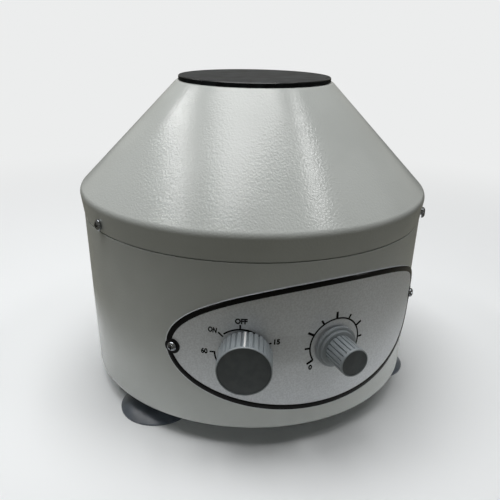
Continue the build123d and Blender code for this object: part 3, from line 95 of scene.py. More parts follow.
# ---------------------------------------------------------------- sizes and colours
def length(name, description, millimetres):
    """A length property, given in millimetres and kept in metres."""
    return FloatProperty(
        name=name, description=description, default=millimetres * MM, min=0, unit="LENGTH"
    )


def degrees(name, description, amount):
    """An angle property, given in degrees and kept in radians."""
    return FloatProperty(
        name=name, description=description, default=radians(amount), subtype="ANGLE"
    )


def whole_number(name, description, amount):
    """A counted property."""
    return IntProperty(name=name, description=description, default=amount)


def srgb(code):
    """Linear red, green and blue of an sRGB hex value such as '#B9BDB8'."""
    channels = [int(code[i : i + 2], 16) / 255 for i in (1, 3, 5)]
    return tuple(c / 12.92 if c <= 0.04045 else ((c + 0.055) / 1.055) ** 2.4 for c in channels)


def shade(colour, share):
    """A colour darkened or lightened by a share."""
    return tuple(c * share for c in colour)


def paint(name, description, code):
    """A colour property, given as an sRGB hex value."""
    return FloatVectorProperty(
        name=name, description=description, default=srgb(code), size=3, min=0, max=1,
        subtype="COLOR",
    )


class CentrifugeSizes(bpy.types.PropertyGroup):
    """Lengths and angles of the housing, the panel and the knobs."""

    drum_bottom_radius: length("Drum bottom radius", "Outer radius of the drum at its floor", 126.4)
    drum_top_radius: length("Drum top radius", "Outer radius of the drum at the seam", 130.0)
    seam_height: length("Seam height", "Height of the drum's shoulder over the bench", 138.0)
    drum_bend: length("Drum bend", "Outer bend where the wall meets the floor", 4.0)
    drum_sheet: length("Drum sheet", "Thickness of the drum", 1.5)
    floor_hole: length("Floor hole", "Radius of the hole in the drum's floor", 62.0)
    spigot_radius: length("Spigot radius", "Outer radius of the drum inside the cover", 128.5)
    cover_shoulder: length("Cover shoulder", "Radius of the cover at its shoulder", 132.4)
    cover_skirt: length("Cover skirt", "Height of the shoulder over the seam", 18.2)
    cover_bend: length("Cover bend", "Outer bend at the shoulder", 6.0)
    cover_top_radius: length("Cover top radius", "Radius of the cone at its top", 58.3)
    cover_top_bend: length("Cover top bend", "Outer bend at the top of the cone", 2.0)
    opening_radius: length("Opening radius", "Radius of the loading opening", 52.0)
    opening_bend: length("Opening bend", "Bend into the opening", 1.6)
    opening_collar: length("Opening collar", "Depth of the collar in the opening", 6.0)
    cover_sheet: length("Cover sheet", "Thickness of the cover", 1.2)

    panel_height: length("Panel height", "Height of the panel's middle", 77.1)
    panel_half_width: length("Panel half width", "Half of the panel's width along the wall", 111.8)
    panel_half_height: length("Panel half height", "Half of the panel's height", 47.75)
    panel_tilt: degrees("Panel tilt", "Lean of the panel, its right side up", 1.6)
    panel_thickness: length("Panel thickness", "Thickness of the panel", 1.0)
    border_inset: length("Border inset", "Bare metal outside the border", 0.25)
    border_width: length("Border width", "Width of the border", 3.8)
    border_rise: length("Border rise", "Height of the border's crown over the panel", 0.35)

    timer_angle: degrees("Timer angle", "Place of the timer knob round the housing", -25.5)
    timer_height: length("Timer height", "Height of the timer knob's shaft", 74.9)
    timer_dial_angle: degrees("Timer dial angle", "Place of the printed minute dial", -26.8)
    timer_dial_height: length("Timer dial height", "Height of the middle of the minute dial", 75.83)
    timer_dial_lean: degrees("Timer dial lean", "Lean of the minute dial, clockwise", -1.3)
    timer_radius: length("Timer dial radius", "Radius of the minute dial's arc", 16.98)
    speed_angle: degrees("Speed angle", "Place of the speed knob round the housing", 1.4)
    speed_height: length("Speed height", "Height of the speed knob's shaft", 75.7)
    speed_dial_angle: degrees("Speed dial angle", "Place of the printed speed dial", 1.61)
    speed_dial_height: length("Speed dial height", "Height of the middle of the speed dial", 76.86)
    speed_dial_lean: degrees("Speed dial lean", "Lean of the speed dial, clockwise", -1.0)
    speed_radius: length("Speed dial radius", "Radius of the speed dial's arc", 18.55)
    dial_line: length("Dial line", "Width of the printed lines", 1.1)
    letter_height: length("Letter height", "Height of the printed capitals", 3.57)

    timer_flutes: whole_number("Timer flutes", "Grooves round the timer knob", 30)
    speed_flutes: whole_number("Speed flutes", "Grooves round the speed knob", 20)


class CentrifugeColours(bpy.types.PropertyGroup):
    """Colours of the finishes in view."""

    housing: paint("Housing", "Powder coat of the drum and the cover", "#C4C8C5")
    housing_shade: paint("Housing shade", "Darker clouds in the powder coat", "#BDC1BE")
    panel: paint("Panel", "Anodised plate", "#D8DCE0")
    print_ink: paint("Print", "Ink of the dials", "#060607")
    knob: paint("Knob", "Moulded knob", "#8D9498")
    knob_cap: paint("Knob cap", "Flat disc in the face of a knob", "#454B4E")
    pointer: paint("Pointer", "Line on the timer knob", "#F1F1EF")
    lid: paint("Lid", "Moulded lid", "#0A0B0C")
    # Lighter patches on the lid that paint the room's reflection onto it.
    lid_painted_reflection: paint("Lid painted reflection", "Lighter patches of painted reflection on the lid", "#212527")
    foot: paint("Foot", "Suction feet", "#48505A")


# ---------------------------------------------------------------- small builders
def outward(angle):
    """Unit vector away from the spin axis."""
    return Vector((sin(angle), -cos(angle), 0))


def wall_radius(sizes, height):
    """Outer radius of the drum at a height."""
    share = (height - DRUM_LOW.z) / (sizes.seam_height - DRUM_LOW.z)
    return sizes.drum_bottom_radius + (sizes.drum_top_radius - sizes.drum_bottom_radius) * share


def wall_seat(sizes, angle, height):
    """Matrix of a seat on the drum's wall: x along the wall, y up, z away from the wall."""
    flare = sizes.drum_top_radius - sizes.drum_bottom_radius
    lean = atan2(flare, sizes.seam_height - DRUM_LOW.z)
    normal = outward(angle) * cos(lean) - Vector((0, 0, sin(lean)))
    side = Vector((cos(angle), sin(angle), 0))
    place = outward(angle) * wall_radius(sizes, height) + Vector((0, 0, height))
    turn = Matrix((side, normal.cross(side), normal)).transposed()
    return Matrix.Translation(place) @ turn.to_4x4()


def finish_mesh(name, shape, finish, body, sharp=SHARP_ANGLE):
    """Object in a named finish from a bmesh, smooth but for its sharp edges, riding on a body."""
    bmesh.ops.recalc_face_normals(shape, faces=shape.faces)
    mesh = bpy.data.meshes.new(name)
    shape.to_mesh(mesh)
    shape.free()
    mesh.shade_smooth()
    mesh.set_sharp_from_angle(angle=sharp)
    mesh.materials.append(bpy.data.materials[finish])
    made = bpy.data.objects.new(name, mesh)
    bpy.context.scene.collection.objects.link(made)
    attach(made, body)
    return made


def rounded(corners, steps=8):
    """Outline through (radius, height, bend) corners, each bend drawn as an arc of a few steps."""
    points = [Vector((radius, height)) for radius, height, bend in corners]
    outline = []
    for i, (here, (radius, height, bend)) in enumerate(zip(points, corners)):
        if not bend:
            outline.append(here)
            continue
        before = (points[i - 1] - here).normalized()
        after = (points[(i + 1) % len(points)] - here).normalized()
        half = before.angle(after) / 2
        centre = here + (before + after).normalized() * bend / sin(half)
        start = here + before * bend / tan(half) - centre
        end = here + after * bend / tan(half) - centre
        sweep = start.angle_signed(end)
        for k in range(steps + 1):
            outline.append(centre + Matrix.Rotation(-sweep * k / steps, 2) @ start)
    return outline


def round_turns(count):
    """Equal turns once round, in radians."""
    return [2 * pi * k / count for k in range(count)]


def turned(outline):
    """Closed solid turned round +Z from a closed (radius, height) outline off the axis."""
    shape = bmesh.new()
    turns = round_turns(ROUND_SEGMENTS)
    rings = [[shape.verts.new((r * cos(a), r * sin(a), z)) for a in turns] for r, z in outline]
    join_rings(shape, rings, closed=True)
    return shape


def join_rings(shape, rings, closed):
    """Faces between neighbouring rings of as many vertices; closed rings join at the ends too."""
    following = rings[1:] + rings[:1] if closed else rings[1:]
    for low, high in zip(rings, following):
        for k in range(len(low)):
            n = (k + 1) % len(low)
            shape.faces.new((low[k], low[n], high[n], high[k]))


def fluted(outline, flutes, groove_width):
    """Grooved solid turned round +Z from a closed (radius, height, groove depth) outline."""
    widest = max(r for r, z, depth in outline)
    pitch = 2 * pi / flutes
    half_groove = groove_width / widest / 2
    # Turns over one groove and the rib after it, each with its share of the groove's depth.
    groove = {
        (side * share * half_groove, 1 - share**2) for share in GROOVE_SHARES for side in (-1, 1)
    }
    rib_quarter = (pitch / 2 + half_groove) / 2
    marks = sorted(groove) + [(rib_quarter, 0), (pitch / 2, 0), (pitch - rib_quarter, 0)]
    turns = [(pitch * i + angle, share) for i in range(flutes) for angle, share in marks]
    shape = bmesh.new()
    rings = [
        [
            shape.verts.new(((r - depth * share) * cos(a), (r - depth * share) * sin(a), z))
            for a, share in turns
        ]
        for r, z, depth in outline
    ]
    join_rings(shape, rings, closed=True)
    return shape


def strip(shape, inner, outer):
    """Flat strip of faces between two rows of (x, y) points."""
    low = [shape.verts.new((x, y, 0)) for x, y in inner]
    high = [shape.verts.new((x, y, 0)) for x, y in outer]
    for k in range(len(low) - 1):
        shape.faces.new((low[k], low[k + 1], high[k + 1], high[k]))


def thicken(shape, amount):
    """Closed solid from the flat faces of a shape, raised by an amount."""
    flat = shape.verts[:] + shape.edges[:] + shape.faces[:]
    raised = bmesh.ops.extrude_face_region(shape, geom=flat, use_keep_orig=True)
    tops = [v for v in raised["geom"] if isinstance(v, bmesh.types.BMVert)]
    bmesh.ops.translate(shape, verts=tops, vec=(0, 0, amount))


def wrap_on_panel(shape, sizes, angle, height):
    """Bends a flat shape onto the panel: x runs along the wall, y up and z off the panel."""
    middle = wall_radius(sizes, height) + sizes.panel_thickness
    for vert in shape.verts:
        x, y, lift = vert.co
        z = height + y
        radius = wall_radius(sizes, z) + sizes.panel_thickness + lift
        place = outward(angle + x / middle) * radius
        vert.co = (place.x, place.y, z)


def dial_point(radius, turn):
    """(x, y) on a dial, with the turn clockwise from its top."""
    return (radius * sin(turn), radius * cos(turn))


def add_arc(shape, radius, width, start, end):
    """Arc of a dial between two turns."""
    count = int((end - start) / ARC_STEP) + 1
    turns = [start + (end - start) * k / count for k in range(count + 1)]
    strip(
        shape,
        [dial_point(radius - width / 2, t) for t in turns],
        [dial_point(radius + width / 2, t) for t in turns],
    )


def add_tick(shape, start, end, width, turn):
    """Straight tick of a dial from one radius to another, in two lengths that follow the wall."""
    along = Vector(dial_point(1, turn))
    across = Vector((along.y, -along.x)) * width / 2
    middles = [along * (start + (end - start) * share) for share in (0, 0.5, 1)]
    strip(shape, [middle - across for middle in middles], [middle + across for middle in middles])


def add_word(shape, word, height, x, y, lean, width):
    """Flat capitals or numbers at a place, leaning clockwise, with a share of their width."""
    curve = bpy.data.curves.new("word", "FONT")
    curve.body = word
    curve.align_x = "CENTER"
    curve.align_y = "CENTER"
    curve.resolution_u = 4
    curve.size = height / LETTER_SHARE
    curve.offset = height * LETTER_WEIGHT
    carrier = bpy.data.objects.new("word", curve)
    bpy.context.scene.collection.objects.link(carrier)
    bpy.context.view_layer.update()
    mesh = bpy.data.meshes.new_from_object(carrier)
    narrow = Matrix.Diagonal((width, 1, 1, 1))
    mesh.transform(Matrix.Translation((x, y, 0)) @ Matrix.Rotation(-lean, 4, "Z") @ narrow)
    shape.from_mesh(mesh)
    bpy.data.objects.remove(carrier)
    bpy.data.curves.remove(curve)
    bpy.data.meshes.remove(mesh)
    bmesh.ops.remove_doubles(shape, verts=shape.verts, dist=LETTER_WELD)


# ---------------------------------------------------------------- finishes
def add_node(tree, kind, inputs=(), **settings):
    """A node of a kind, with its settings, and its inputs set or linked by name or number."""
    made = tree.nodes.new(kind)
    for name, value in settings.items():
        setattr(made, name, value)
    for socket, value in dict(inputs).items():
        if isinstance(value, bpy.types.NodeSocket):
            tree.links.new(value, made.inputs[socket])
        else:
            made.inputs[socket].default_value = value
    return made


def start_finish(name, colour, roughness, **settings):
    """Material with constant sockets set; returns it and a finish: its tree, shader and place."""
    material = bpy.data.materials.new(name)
    material.use_nodes = True
    tree = material.node_tree
    shader = tree.nodes["Principled BSDF"]
    shader.inputs["Base Color"].default_value = (*colour, 1)
    shader.inputs["Roughness"].default_value = roughness
    for setting, value in settings.items():
        socket = setting.replace("_", " ").title().replace("Ior", "IOR")
        shader.inputs[socket].default_value = value
    place = add_node(tree, "ShaderNodeTexCoord").outputs["Object"]
    return material, (tree, shader, place)


def tint(finish, share, colour, other):
    """Base colour that goes from one colour to another by a share."""
    tree, shader, place = finish
    blend = add_node(
        tree,
        "ShaderNodeMix",
        {MIX_SHARE: share, MIX_FIRST: (*colour, 1), MIX_SECOND: (*other, 1)},
        data_type="RGBA",
    )
    tree.links.new(blend.outputs[MIX_RESULT], shader.inputs["Base Color"])


def cloud(finish, colour, other, size, detail=3.0, contrast=(0.35, 0.65)):
    """Base colour that drifts from one colour to another over patches of a size."""
    tree, shader, place = finish
    noise = add_node(
        tree, "ShaderNodeTexNoise", {"Vector": place, "Scale": 1 / size, "Detail": detail}
    )
    share = add_node(
        tree,
        "ShaderNodeMapRange",
        {"Value": noise.outputs["Fac"], "From Min": contrast[0], "From Max": contrast[1]},
        interpolation_type="SMOOTHSTEP",
    )
    tint(finish, share.outputs["Result"], colour, other)


def grain(finish, size, height, detail=2.0, rough=None):
    """Fine relief of a size and a height, which may also vary the roughness between two values."""
    tree, shader, place = finish
    noise = add_node(
        tree, "ShaderNodeTexNoise", {"Vector": place, "Scale": 1 / size, "Detail": detail}
    )
    relief = add_node(tree, "ShaderNodeBump", {"Height": noise.outputs["Fac"], "Distance": height})
    tree.links.new(relief.outputs["Normal"], shader.inputs["Normal"])
    if rough:
        spread = add_node(
            tree,
            "ShaderNodeMapRange",
            {"Value": noise.outputs["Fac"], "To Min": rough[0], "To Max": rough[1]},
        )
        tree.links.new(spread.outputs["Result"], shader.inputs["Roughness"])


def lathe_place(tree, place, stretch):
    """Coordinates for marks that run round the spin axis, each as long as the stretch."""
    parts = add_node(tree, "ShaderNodeSeparateXYZ", {0: place})
    x, y, z = parts.outputs
    flat = add_node(tree, "ShaderNodeCombineXYZ", {"X": x, "Y": y})
    radius = add_node(tree, "ShaderNodeVectorMath", {0: flat.outputs[0]}, operation="LENGTH")
    angle = add_node(tree, "ShaderNodeMath", {0: y, 1: x}, operation="ARCTAN2")
    path = add_node(tree, "ShaderNodeMath", {0: angle.outputs[0], 1: stretch}, operation="MULTIPLY")
    turned_place = {"X": radius.outputs["Value"], "Y": path.outputs[0], "Z": z}
    return add_node(tree, "ShaderNodeCombineXYZ", turned_place).outputs[0]


def powder_coat(colours):
    """Powder-coated steel, sprayed and baked: satin, with an even orange-peel texture."""
    material, finish = start_finish("powder_coated_steel", colours.housing, 0.38, ior=1.5)
    cloud(finish, colours.housing, colours.housing_shade, size=60 * MM)
    # Orange peel is 1 to 2 mm from crest to crest.
    grain(finish, size=1.4 * MM, height=0.13 * MM, detail=1.0, rough=(0.15, 0.24))
    return material


def anodised_plate(colours):
    """Anodised aluminium plate, etched before anodising: a soft even sheen with a fine grain."""
    material, finish = start_finish("anodised_aluminium", colours.panel, 0.3, metallic=0.25)
    # The etched grain is near 0.1 mm, and is drawn coarser so that it shows.
    cloud(finish, colours.panel, shade(colours.panel, 0.86), size=1.2 * MM, detail=4.0)
    grain(finish, size=0.6 * MM, height=0.02 * MM, rough=(0.28, 0.42))
    return material


def screen_ink(colours):
    """Screen-printed enamel ink: thin, smooth and nearly matt."""
    material, finish = start_finish("screen_ink", colours.print_ink, 0.5, specular_ior_level=0.1)
    # The mesh of the screen leaves a grain near 0.1 mm, drawn coarser so that it shows.
    grain(finish, size=0.5 * MM, height=0.006 * MM)
    return material


def border_enamel(colours):
    """Enamel line filled and baked into the panel's rim: black, glossy, slightly crowned."""
    material, finish = start_finish(
        "baked_enamel", colours.print_ink, 0.25, specular_ior_level=0.15
    )
    # Baked enamel flows into shallow waves of 2 to 3 mm.
    grain(finish, size=2.5 * MM, height=0.02 * MM)
    return material


def knob_abs(colours):
    """Moulded ABS from a spark-eroded tool: satin, with a very fine even grain."""
    material, finish = start_finish("moulded_abs", colours.knob, 0.4, ior=1.53)
    cloud(finish, colours.knob, shade(colours.knob, 0.93), size=9 * MM)
    # The tool's grain is near 0.1 mm, and is drawn coarser so that it shows.
    grain(finish, size=0.4 * MM, height=0.012 * MM, rough=(0.34, 0.46))
    return material


def cap_abs(colours):
    """Moulded ABS cap from a matt tool: dark, dry and even, with light handling scuffs."""
    material, finish = start_finish("matt_abs", colours.knob_cap, 0.52, ior=1.53)
    cloud(finish, colours.knob_cap, shade(colours.knob_cap, 1.25), size=6 * MM)
    # The tool's grain is near 0.1 mm, and is drawn coarser so that it shows.
    grain(finish, size=0.3 * MM, height=0.01 * MM, rough=(0.45, 0.6))
    return material


def pointer_acrylic(colours):
    """Cast acrylic strip pressed into the knob: white and glossy."""
    material, finish = start_finish("white_acrylic", colours.pointer, 0.25, ior=1.49)
    grain(finish, size=1.5 * MM, height=0.01 * MM)
    return material


def lid_phenolic(colours):
    """Compression-moulded phenolic: black, its edge glossy and its top rubbed dull, with patchy
    painted reflection.
    """
    material, finish = start_finish("phenolic", colours.lid, 0.2, ior=1.6, specular_ior_level=0.2)
    # Lighter patches about as wide as a fingertip are painted reflection; hands and cloths wear the
    # gloss of the top in patches of that size.
    cloud(finish, colours.lid, colours.lid_painted_reflection, size=9 * MM, detail=6.0, contrast=(0.25, 0.8))
    grain(finish, size=1.4 * MM, height=0.03 * MM)
    tree, shader, place = finish
    normal = add_node(tree, "ShaderNodeTexCoord").outputs["Normal"]
    facing_up = add_node(tree, "ShaderNodeSeparateXYZ", {0: normal}).outputs["Z"]
    rubbed = add_node(
        tree,
        "ShaderNodeMapRange",
        {"Value": facing_up, "From Min": 0.8, "From Max": 0.98, "To Min": 0.2, "To Max": 0.72},
    )
    wear = add_node(
        tree, "ShaderNodeTexNoise", {"Vector": place, "Scale": 1 / (12 * MM), "Detail": 5.0}
    )
    patch = add_node(
        tree, "ShaderNodeMapRange", {"Value": wear.outputs["Fac"], "To Min": 0.85, "To Max": 1.1}
    )
    rough = add_node(
        tree,
        "ShaderNodeMath",
        {0: rubbed.outputs["Result"], 1: patch.outputs["Result"]},
        operation="MULTIPLY",
        use_clamp=True,
    )
    tree.links.new(rough.outputs[0], shader.inputs["Roughness"])
    return material


def foot_vinyl(colours):
    """Moulded soft vinyl: dark, smooth and waxy, with a pale bloom at its thin edges."""
    material, finish = start_finish(
        "soft_vinyl", colours.foot, 0.34, sheen_weight=0.35, sheen_roughness=0.4
    )
    cloud(finish, colours.foot, shade(colours.foot, 0.7), size=8 * MM)
    grain(finish, size=1.5 * MM, height=0.03 * MM)
    return material


def nickel_plate(name, code, roughness, grit, depth):
    """Nickel, chromium or bare metal over turning marks: bright, with a faint grit."""
    material, finish = start_finish(name, srgb(code), roughness, metallic=1.0)
    cloud(finish, srgb(code), shade(srgb(code), 0.86), size=3 * MM)
    grain(finish, size=grit, height=depth, rough=(roughness * 0.7, roughness * 1.4))
    return material


def zinc_plate(name, code, roughness):
    """Zinc-plated steel: dull and bluish, with the spangle of the passivated plate."""
    material, finish = start_finish(name, srgb(code), roughness, metallic=0.9)
    tree, shader, place = finish
    # Spangle is 3 to 8 mm across.
    cells = add_node(tree, "ShaderNodeTexVoronoi", {"Vector": place, "Scale": 1 / (5 * MM)})
    tint(finish, cells.outputs["Distance"], srgb(code), shade(srgb(code), 0.75))
    grain(finish, size=0.8 * MM, height=0.012 * MM, rough=(roughness * 0.8, roughness * 1.25))
    return material


def brushed_metal(name, code, roughness):
    """Metal turned or brushed round the spin axis: fine rings that spread the light."""
    material, finish = start_finish(name, srgb(code), roughness, metallic=1.0, anisotropic=0.5)
    tree, shader, place = finish
    rings = (tree, shader, lathe_place(tree, place, 4 * MM))
    cloud(rings, srgb(code), shade(srgb(code), 0.82), size=1.2 * MM, detail=5.0)
    # Turning marks are near 0.1 mm apart, and are drawn coarser so that they show.
    grain(rings, size=0.35 * MM, height=0.012 * MM, rough=(roughness * 0.75, roughness * 1.3))
    return material


def moulded(name, code, roughness, grit, depth, **settings):
    """Moulded or painted part: one slightly clouded colour with a fine skin."""
    material, finish = start_finish(name, srgb(code), roughness, **settings)
    cloud(finish, srgb(code), shade(srgb(code), 0.8), size=6 * MM)
    grain(finish, size=grit, height=depth, rough=(roughness * 0.85, min(1, roughness * 1.2)))
    return material


def layered_steel(name, code, pitch):
    """Stack of punched sheets or turns of wire: thin dark lines, one sheet or wire apart."""
    material, finish = start_finish(name, srgb(code), 0.45, metallic=0.85)
    tree, shader, place = finish
    lines = add_node(
        tree,
        "ShaderNodeTexWave",
        {"Vector": place, "Scale": 1 / pitch / 2, "Distortion": 0.4, "Detail": 1.0},
        bands_direction="Z",
        wave_profile="SAW",
    )
    tint(finish, lines.outputs["Fac"], shade(srgb(code), 0.35), srgb(code))
    relief = add_node(
        tree, "ShaderNodeBump", {"Height": lines.outputs["Fac"], "Distance": 0.05 * MM}
    )
    tree.links.new(relief.outputs["Normal"], shader.inputs["Normal"])
    return material


def clear_glass():
    """Drawn glass tube: clear and smooth, faintly green, with slight draw lines."""
    material, finish = start_finish(
        "drawn_glass", srgb("#E9F2EE"), 0.04, ior=1.5, transmission_weight=0.9
    )
    grain(finish, size=3 * MM, height=0.01 * MM)
    return material


def slot_finishes(colours):
    """Finish of each material slot of the frame."""
    return {
        "housing_paint": powder_coat(colours),
        "plated_sheet": zinc_plate("zinc_plated_sheet", "#A9ADAF", 0.42),
        "screw_chrome": nickel_plate("nickel_plated_steel", "#85888C", 0.09, 0.9 * MM, 0.02 * MM),
        "plated_steel": zinc_plate("zinc_plated_steel", "#B4B7B8", 0.32),
        "washer_black": moulded(
            "black_nylon", "#070708", 0.4, 0.4 * MM, 0.01 * MM, specular_ior_level=0.15
        ),
        "panel_metal": anodised_plate(colours),
        "knob_plastic": knob_abs(colours),
        "knob_disc": cap_abs(colours),
        "pointer_white": pointer_acrylic(colours),
        "lid_black": lid_phenolic(colours),
        "foot_rubber": foot_vinyl(colours),
        "black_rubber": moulded("nitrile_rubber", "#121212", 0.62, 0.5 * MM, 0.03 * MM),
        "bowl_steel": brushed_metal("brushed_stainless_steel", "#B9BABA", 0.3),
        "cast_aluminium": brushed_metal("machined_aluminium", "#BFC2C4", 0.34),
        "motor_black": moulded("black_enamel", "#141415", 0.3, 1 * MM, 0.03 * MM, coat_weight=0.3),
        "lamination_steel": layered_steel("electrical_steel", "#6E747A", 0.5 * MM),
        "bearing_steel": nickel_plate("bearing_steel", "#BDBDBF", 0.12, 0.3 * MM, 0.003 * MM),
        "copper": layered_steel("copper_winding", "#B8703F", 0.7 * MM),
        "brass": nickel_plate("bare_brass", "#C6A35A", 0.28, 0.4 * MM, 0.008 * MM),
        "carbon": moulded("pressed_carbon", "#17171A", 0.55, 0.3 * MM, 0.02 * MM),
        "black_plastic": moulded("black_polyamide", "#131314", 0.42, 0.4 * MM, 0.015 * MM),
        "board_laminate": moulded("glass_epoxy_laminate", "#1E5A34", 0.35, 0.6 * MM, 0.01 * MM),
        "component_plastic": moulded("moulded_epoxy", "#20263C", 0.4, 0.4 * MM, 0.01 * MM),
        "fuse_glass": clear_glass(),
    }


# ---------------------------------------------------------------- operators
class CENTRIFUGE_OT_dress_frame(bpy.types.Operator):
    """Give every node of the frame the finish of its material slot"""

    bl_idname = "centrifuge.dress_frame"
    bl_label = "Dress the frame"

    def execute(self, context):
        colours = context.scene.centrifuge_colours
        finishes = slot_finishes(colours)
        screen_ink(colours)
        border_enamel(colours)
        for part in frame["record"]["subparts"]:
            mesh = frame["nodes"][part["node"]].data
            mesh.materials.clear()
            mesh.materials.append(finishes[part["material_slot"]])
            mesh.shade_smooth()
            mesh.set_sharp_from_angle(angle=SHARP_ANGLE)
        return {"FINISHED"}


class CENTRIFUGE_OT_add_drum(bpy.types.Operator):
    """Add the spun drum with its rolled bends"""

    bl_idname = "centrifuge.add_drum"
    bl_label = "Drum"

    def execute(self, context):
        sizes = context.scene.centrifuge_sizes
        sheet, floor, seam = sizes.drum_sheet, DRUM_LOW.z, sizes.seam_height
        shoulder_bend = 0.5 * MM
        # Inside, the wall steps in to the spigot between these two heights.
        step_low, step_high = seam - 4 * MM, seam - 2 * MM
        outline = rounded(
            [
                (sizes.floor_hole, floor, 0),
                (sizes.drum_bottom_radius, floor, sizes.drum_bend),
                (sizes.drum_top_radius, seam, shoulder_bend),
                (sizes.spigot_radius, seam, 0),
                (sizes.spigot_radius, DRUM_HIGH.z, 0),
                (sizes.spigot_radius - sheet, DRUM_HIGH.z, 0),
                (sizes.spigot_radius - sheet, step_high, 0),
                (wall_radius(sizes, step_low) - sheet, step_low, 0),
                (sizes.drum_bottom_radius - sheet, floor + sheet, sizes.drum_bend - sheet),
                (sizes.floor_hole, floor + sheet, 0),
            ]
        )
        drum = finish_mesh(
            "drum_shell", turned(outline), "powder_coated_steel", "housing"
        )
        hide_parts("base_drum")
        return {"FINISHED"}


class CENTRIFUGE_OT_add_cover(bpy.types.Operator):
    """Add the spun conical cover with its skirt and the collar of its opening"""

    bl_idname = "centrifuge.add_cover"
    bl_label = "Cover"

    def execute(self, context):
        sizes = context.scene.centrifuge_sizes
        sheet, low, top = sizes.cover_sheet, COVER_LOW.z, COVER_HIGH.z
        shoulder = sizes.seam_height + sizes.cover_skirt
        edge_bend = 0.4 * MM
        collar_low = top - sizes.opening_collar
        # Slope of the cone, flare of the skirt, and half the turn of the sheet between them.
        slope = atan2(top - shoulder, sizes.cover_shoulder - sizes.cover_top_radius)
        flare = atan2(sizes.cover_shoulder - sizes.drum_top_radius, shoulder - low)
        shoulder_turn = (pi / 2 + flare - slope) / 2
        inner_top = (
            sizes.cover_top_radius - sheet * tan(slope / 2),
            top - sheet,
            sizes.cover_top_bend - sheet,
        )
        inner_shoulder = (
            sizes.cover_shoulder - sheet * cos(shoulder_turn - flare) / cos(shoulder_turn),
            shoulder - sheet * sin(shoulder_turn - flare) / cos(shoulder_turn),
            sizes.cover_bend - sheet,
        )
        outline = rounded(
            [
                (sizes.drum_top_radius, low, edge_bend),
                (sizes.cover_shoulder, shoulder, sizes.cover_bend),
                (sizes.cover_top_radius, top, sizes.cover_top_bend),
                (sizes.opening_radius, top, sizes.opening_bend),
                (sizes.opening_radius, collar_low, 0),
                (sizes.opening_radius + sheet, collar_low, 0),
                (sizes.opening_radius + sheet, top - sheet, sizes.opening_bend - sheet),
                inner_top,
                inner_shoulder,
                (sizes.drum_top_radius - sheet, low, 0),
            ],
            steps=12,
        )
        cover = finish_mesh(
            "cover_shell", turned(outline), "powder_coated_steel", "housing"
        )
        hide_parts("cone_cover")
        return {"FINISHED"}


def oval(sizes, inset):
    """Points of the panel's outline, moved inwards by an inset."""
    wide, high = sizes.panel_half_width, sizes.panel_half_height
    lean = Matrix.Rotation(sizes.panel_tilt, 2)
    points = []
    for turn in round_turns(OVAL_SEGMENTS):
        normal = Vector((high * cos(turn), wide * sin(turn))).normalized()
        points.append(lean @ (Vector((wide * cos(turn), high * sin(turn))) - normal * inset))
    return points


class CENTRIFUGE_OT_add_border(bpy.types.Operator):
    """Add the crowned enamel border round the panel"""

    bl_idname = "centrifuge.add_border"
    bl_label = "Panel border"

    def execute(self, context):
        sizes = context.scene.centrifuge_sizes
        # Section of the border: shares of its width and of the height of its crown.
        section = (
            (0, 0), (0, 0.35), (0.12, 0.8), (0.35, 1), (0.65, 1), (0.88, 0.8), (1, 0.35), (1, 0)
        )
        shape = bmesh.new()
        rings = [
            [
                shape.verts.new((x, y, sizes.border_rise * lift))
                for x, y in oval(sizes, sizes.border_inset + sizes.border_width * share)
            ]
            for share, lift in section
        ]
        join_rings(shape, rings, closed=True)
        wrap_on_panel(shape, sizes, 0, sizes.panel_height)
        finish_mesh(
            "panel_border", shape, "baked_enamel", "housing", BORDER_SHARP_ANGLE
        )
        return {"FINISHED"}


def print_dial(name, shape, sizes, angle, height):
    """Raises a flat dial to the thickness of its ink and wraps it onto the panel."""
    thicken(shape, PRINT_THICKNESS)
    wrap_on_panel(shape, sizes, angle, height)
    finish_mesh(name, shape, "screen_ink", "housing")


def print_words(name, words, sizes, angle, height):
    """Prints words round a dial.

    Each is (word, radius in millimetres, turn and lean in degrees, share of its width).
    """
    shape = bmesh.new()
    for word, radius, turn, lean, width in words:
        place = dial_point(radius * MM, radians(turn))
        add_word(shape, word, sizes.letter_height, *place, radians(lean), width)
    print_dial(name, shape, sizes, angle, height)


class CENTRIFUGE_OT_add_timer_dial(bpy.types.Operator):
    """Print the minute dial: an arc from ON past OFF to 60, with ticks and words"""

    bl_idname = "centrifuge.add_timer_dial"
    bl_label = "Timer dial"

    def execute(self, context):
        sizes = context.scene.centrifuge_sizes
        radius, line, lean = sizes.timer_radius, sizes.dial_line, sizes.timer_dial_lean
        arc_start, arc_end = -39, 268.9
        # Start and end radius and turn in degrees of the ticks at ON, OFF, 15 and 60.
        ticks = (
            (15.8 * MM, 20.15 * MM, -44.4),
            (radius, 20.35 * MM, 0.0),
            (radius, 20.9 * MM, 71.1),
            (radius - line / 2, 20.2 * MM, arc_end),
        )
        shape = bmesh.new()
        add_arc(shape, radius, line, radians(arc_start) + lean, radians(arc_end) + lean)
        for start, end, turn in ticks:
            add_tick(shape, start, end, line, radians(turn) + lean)
        place = (sizes, sizes.timer_dial_angle, sizes.timer_dial_height)
        print_dial("timer_dial_lines", shape, *place)
        words = (
            ("OFF", 22.7, 0.4, 0, 0.9),
            ("ON", 23.7, -49.9, 8, 0.74),
            ("60", 23.8, -92.4, 0, 0.88),
            ("15", 24.1, 71.2, 0, 0.95),
        )
        print_words("timer_dial_words", words, *place)
        return {"FINISHED"}


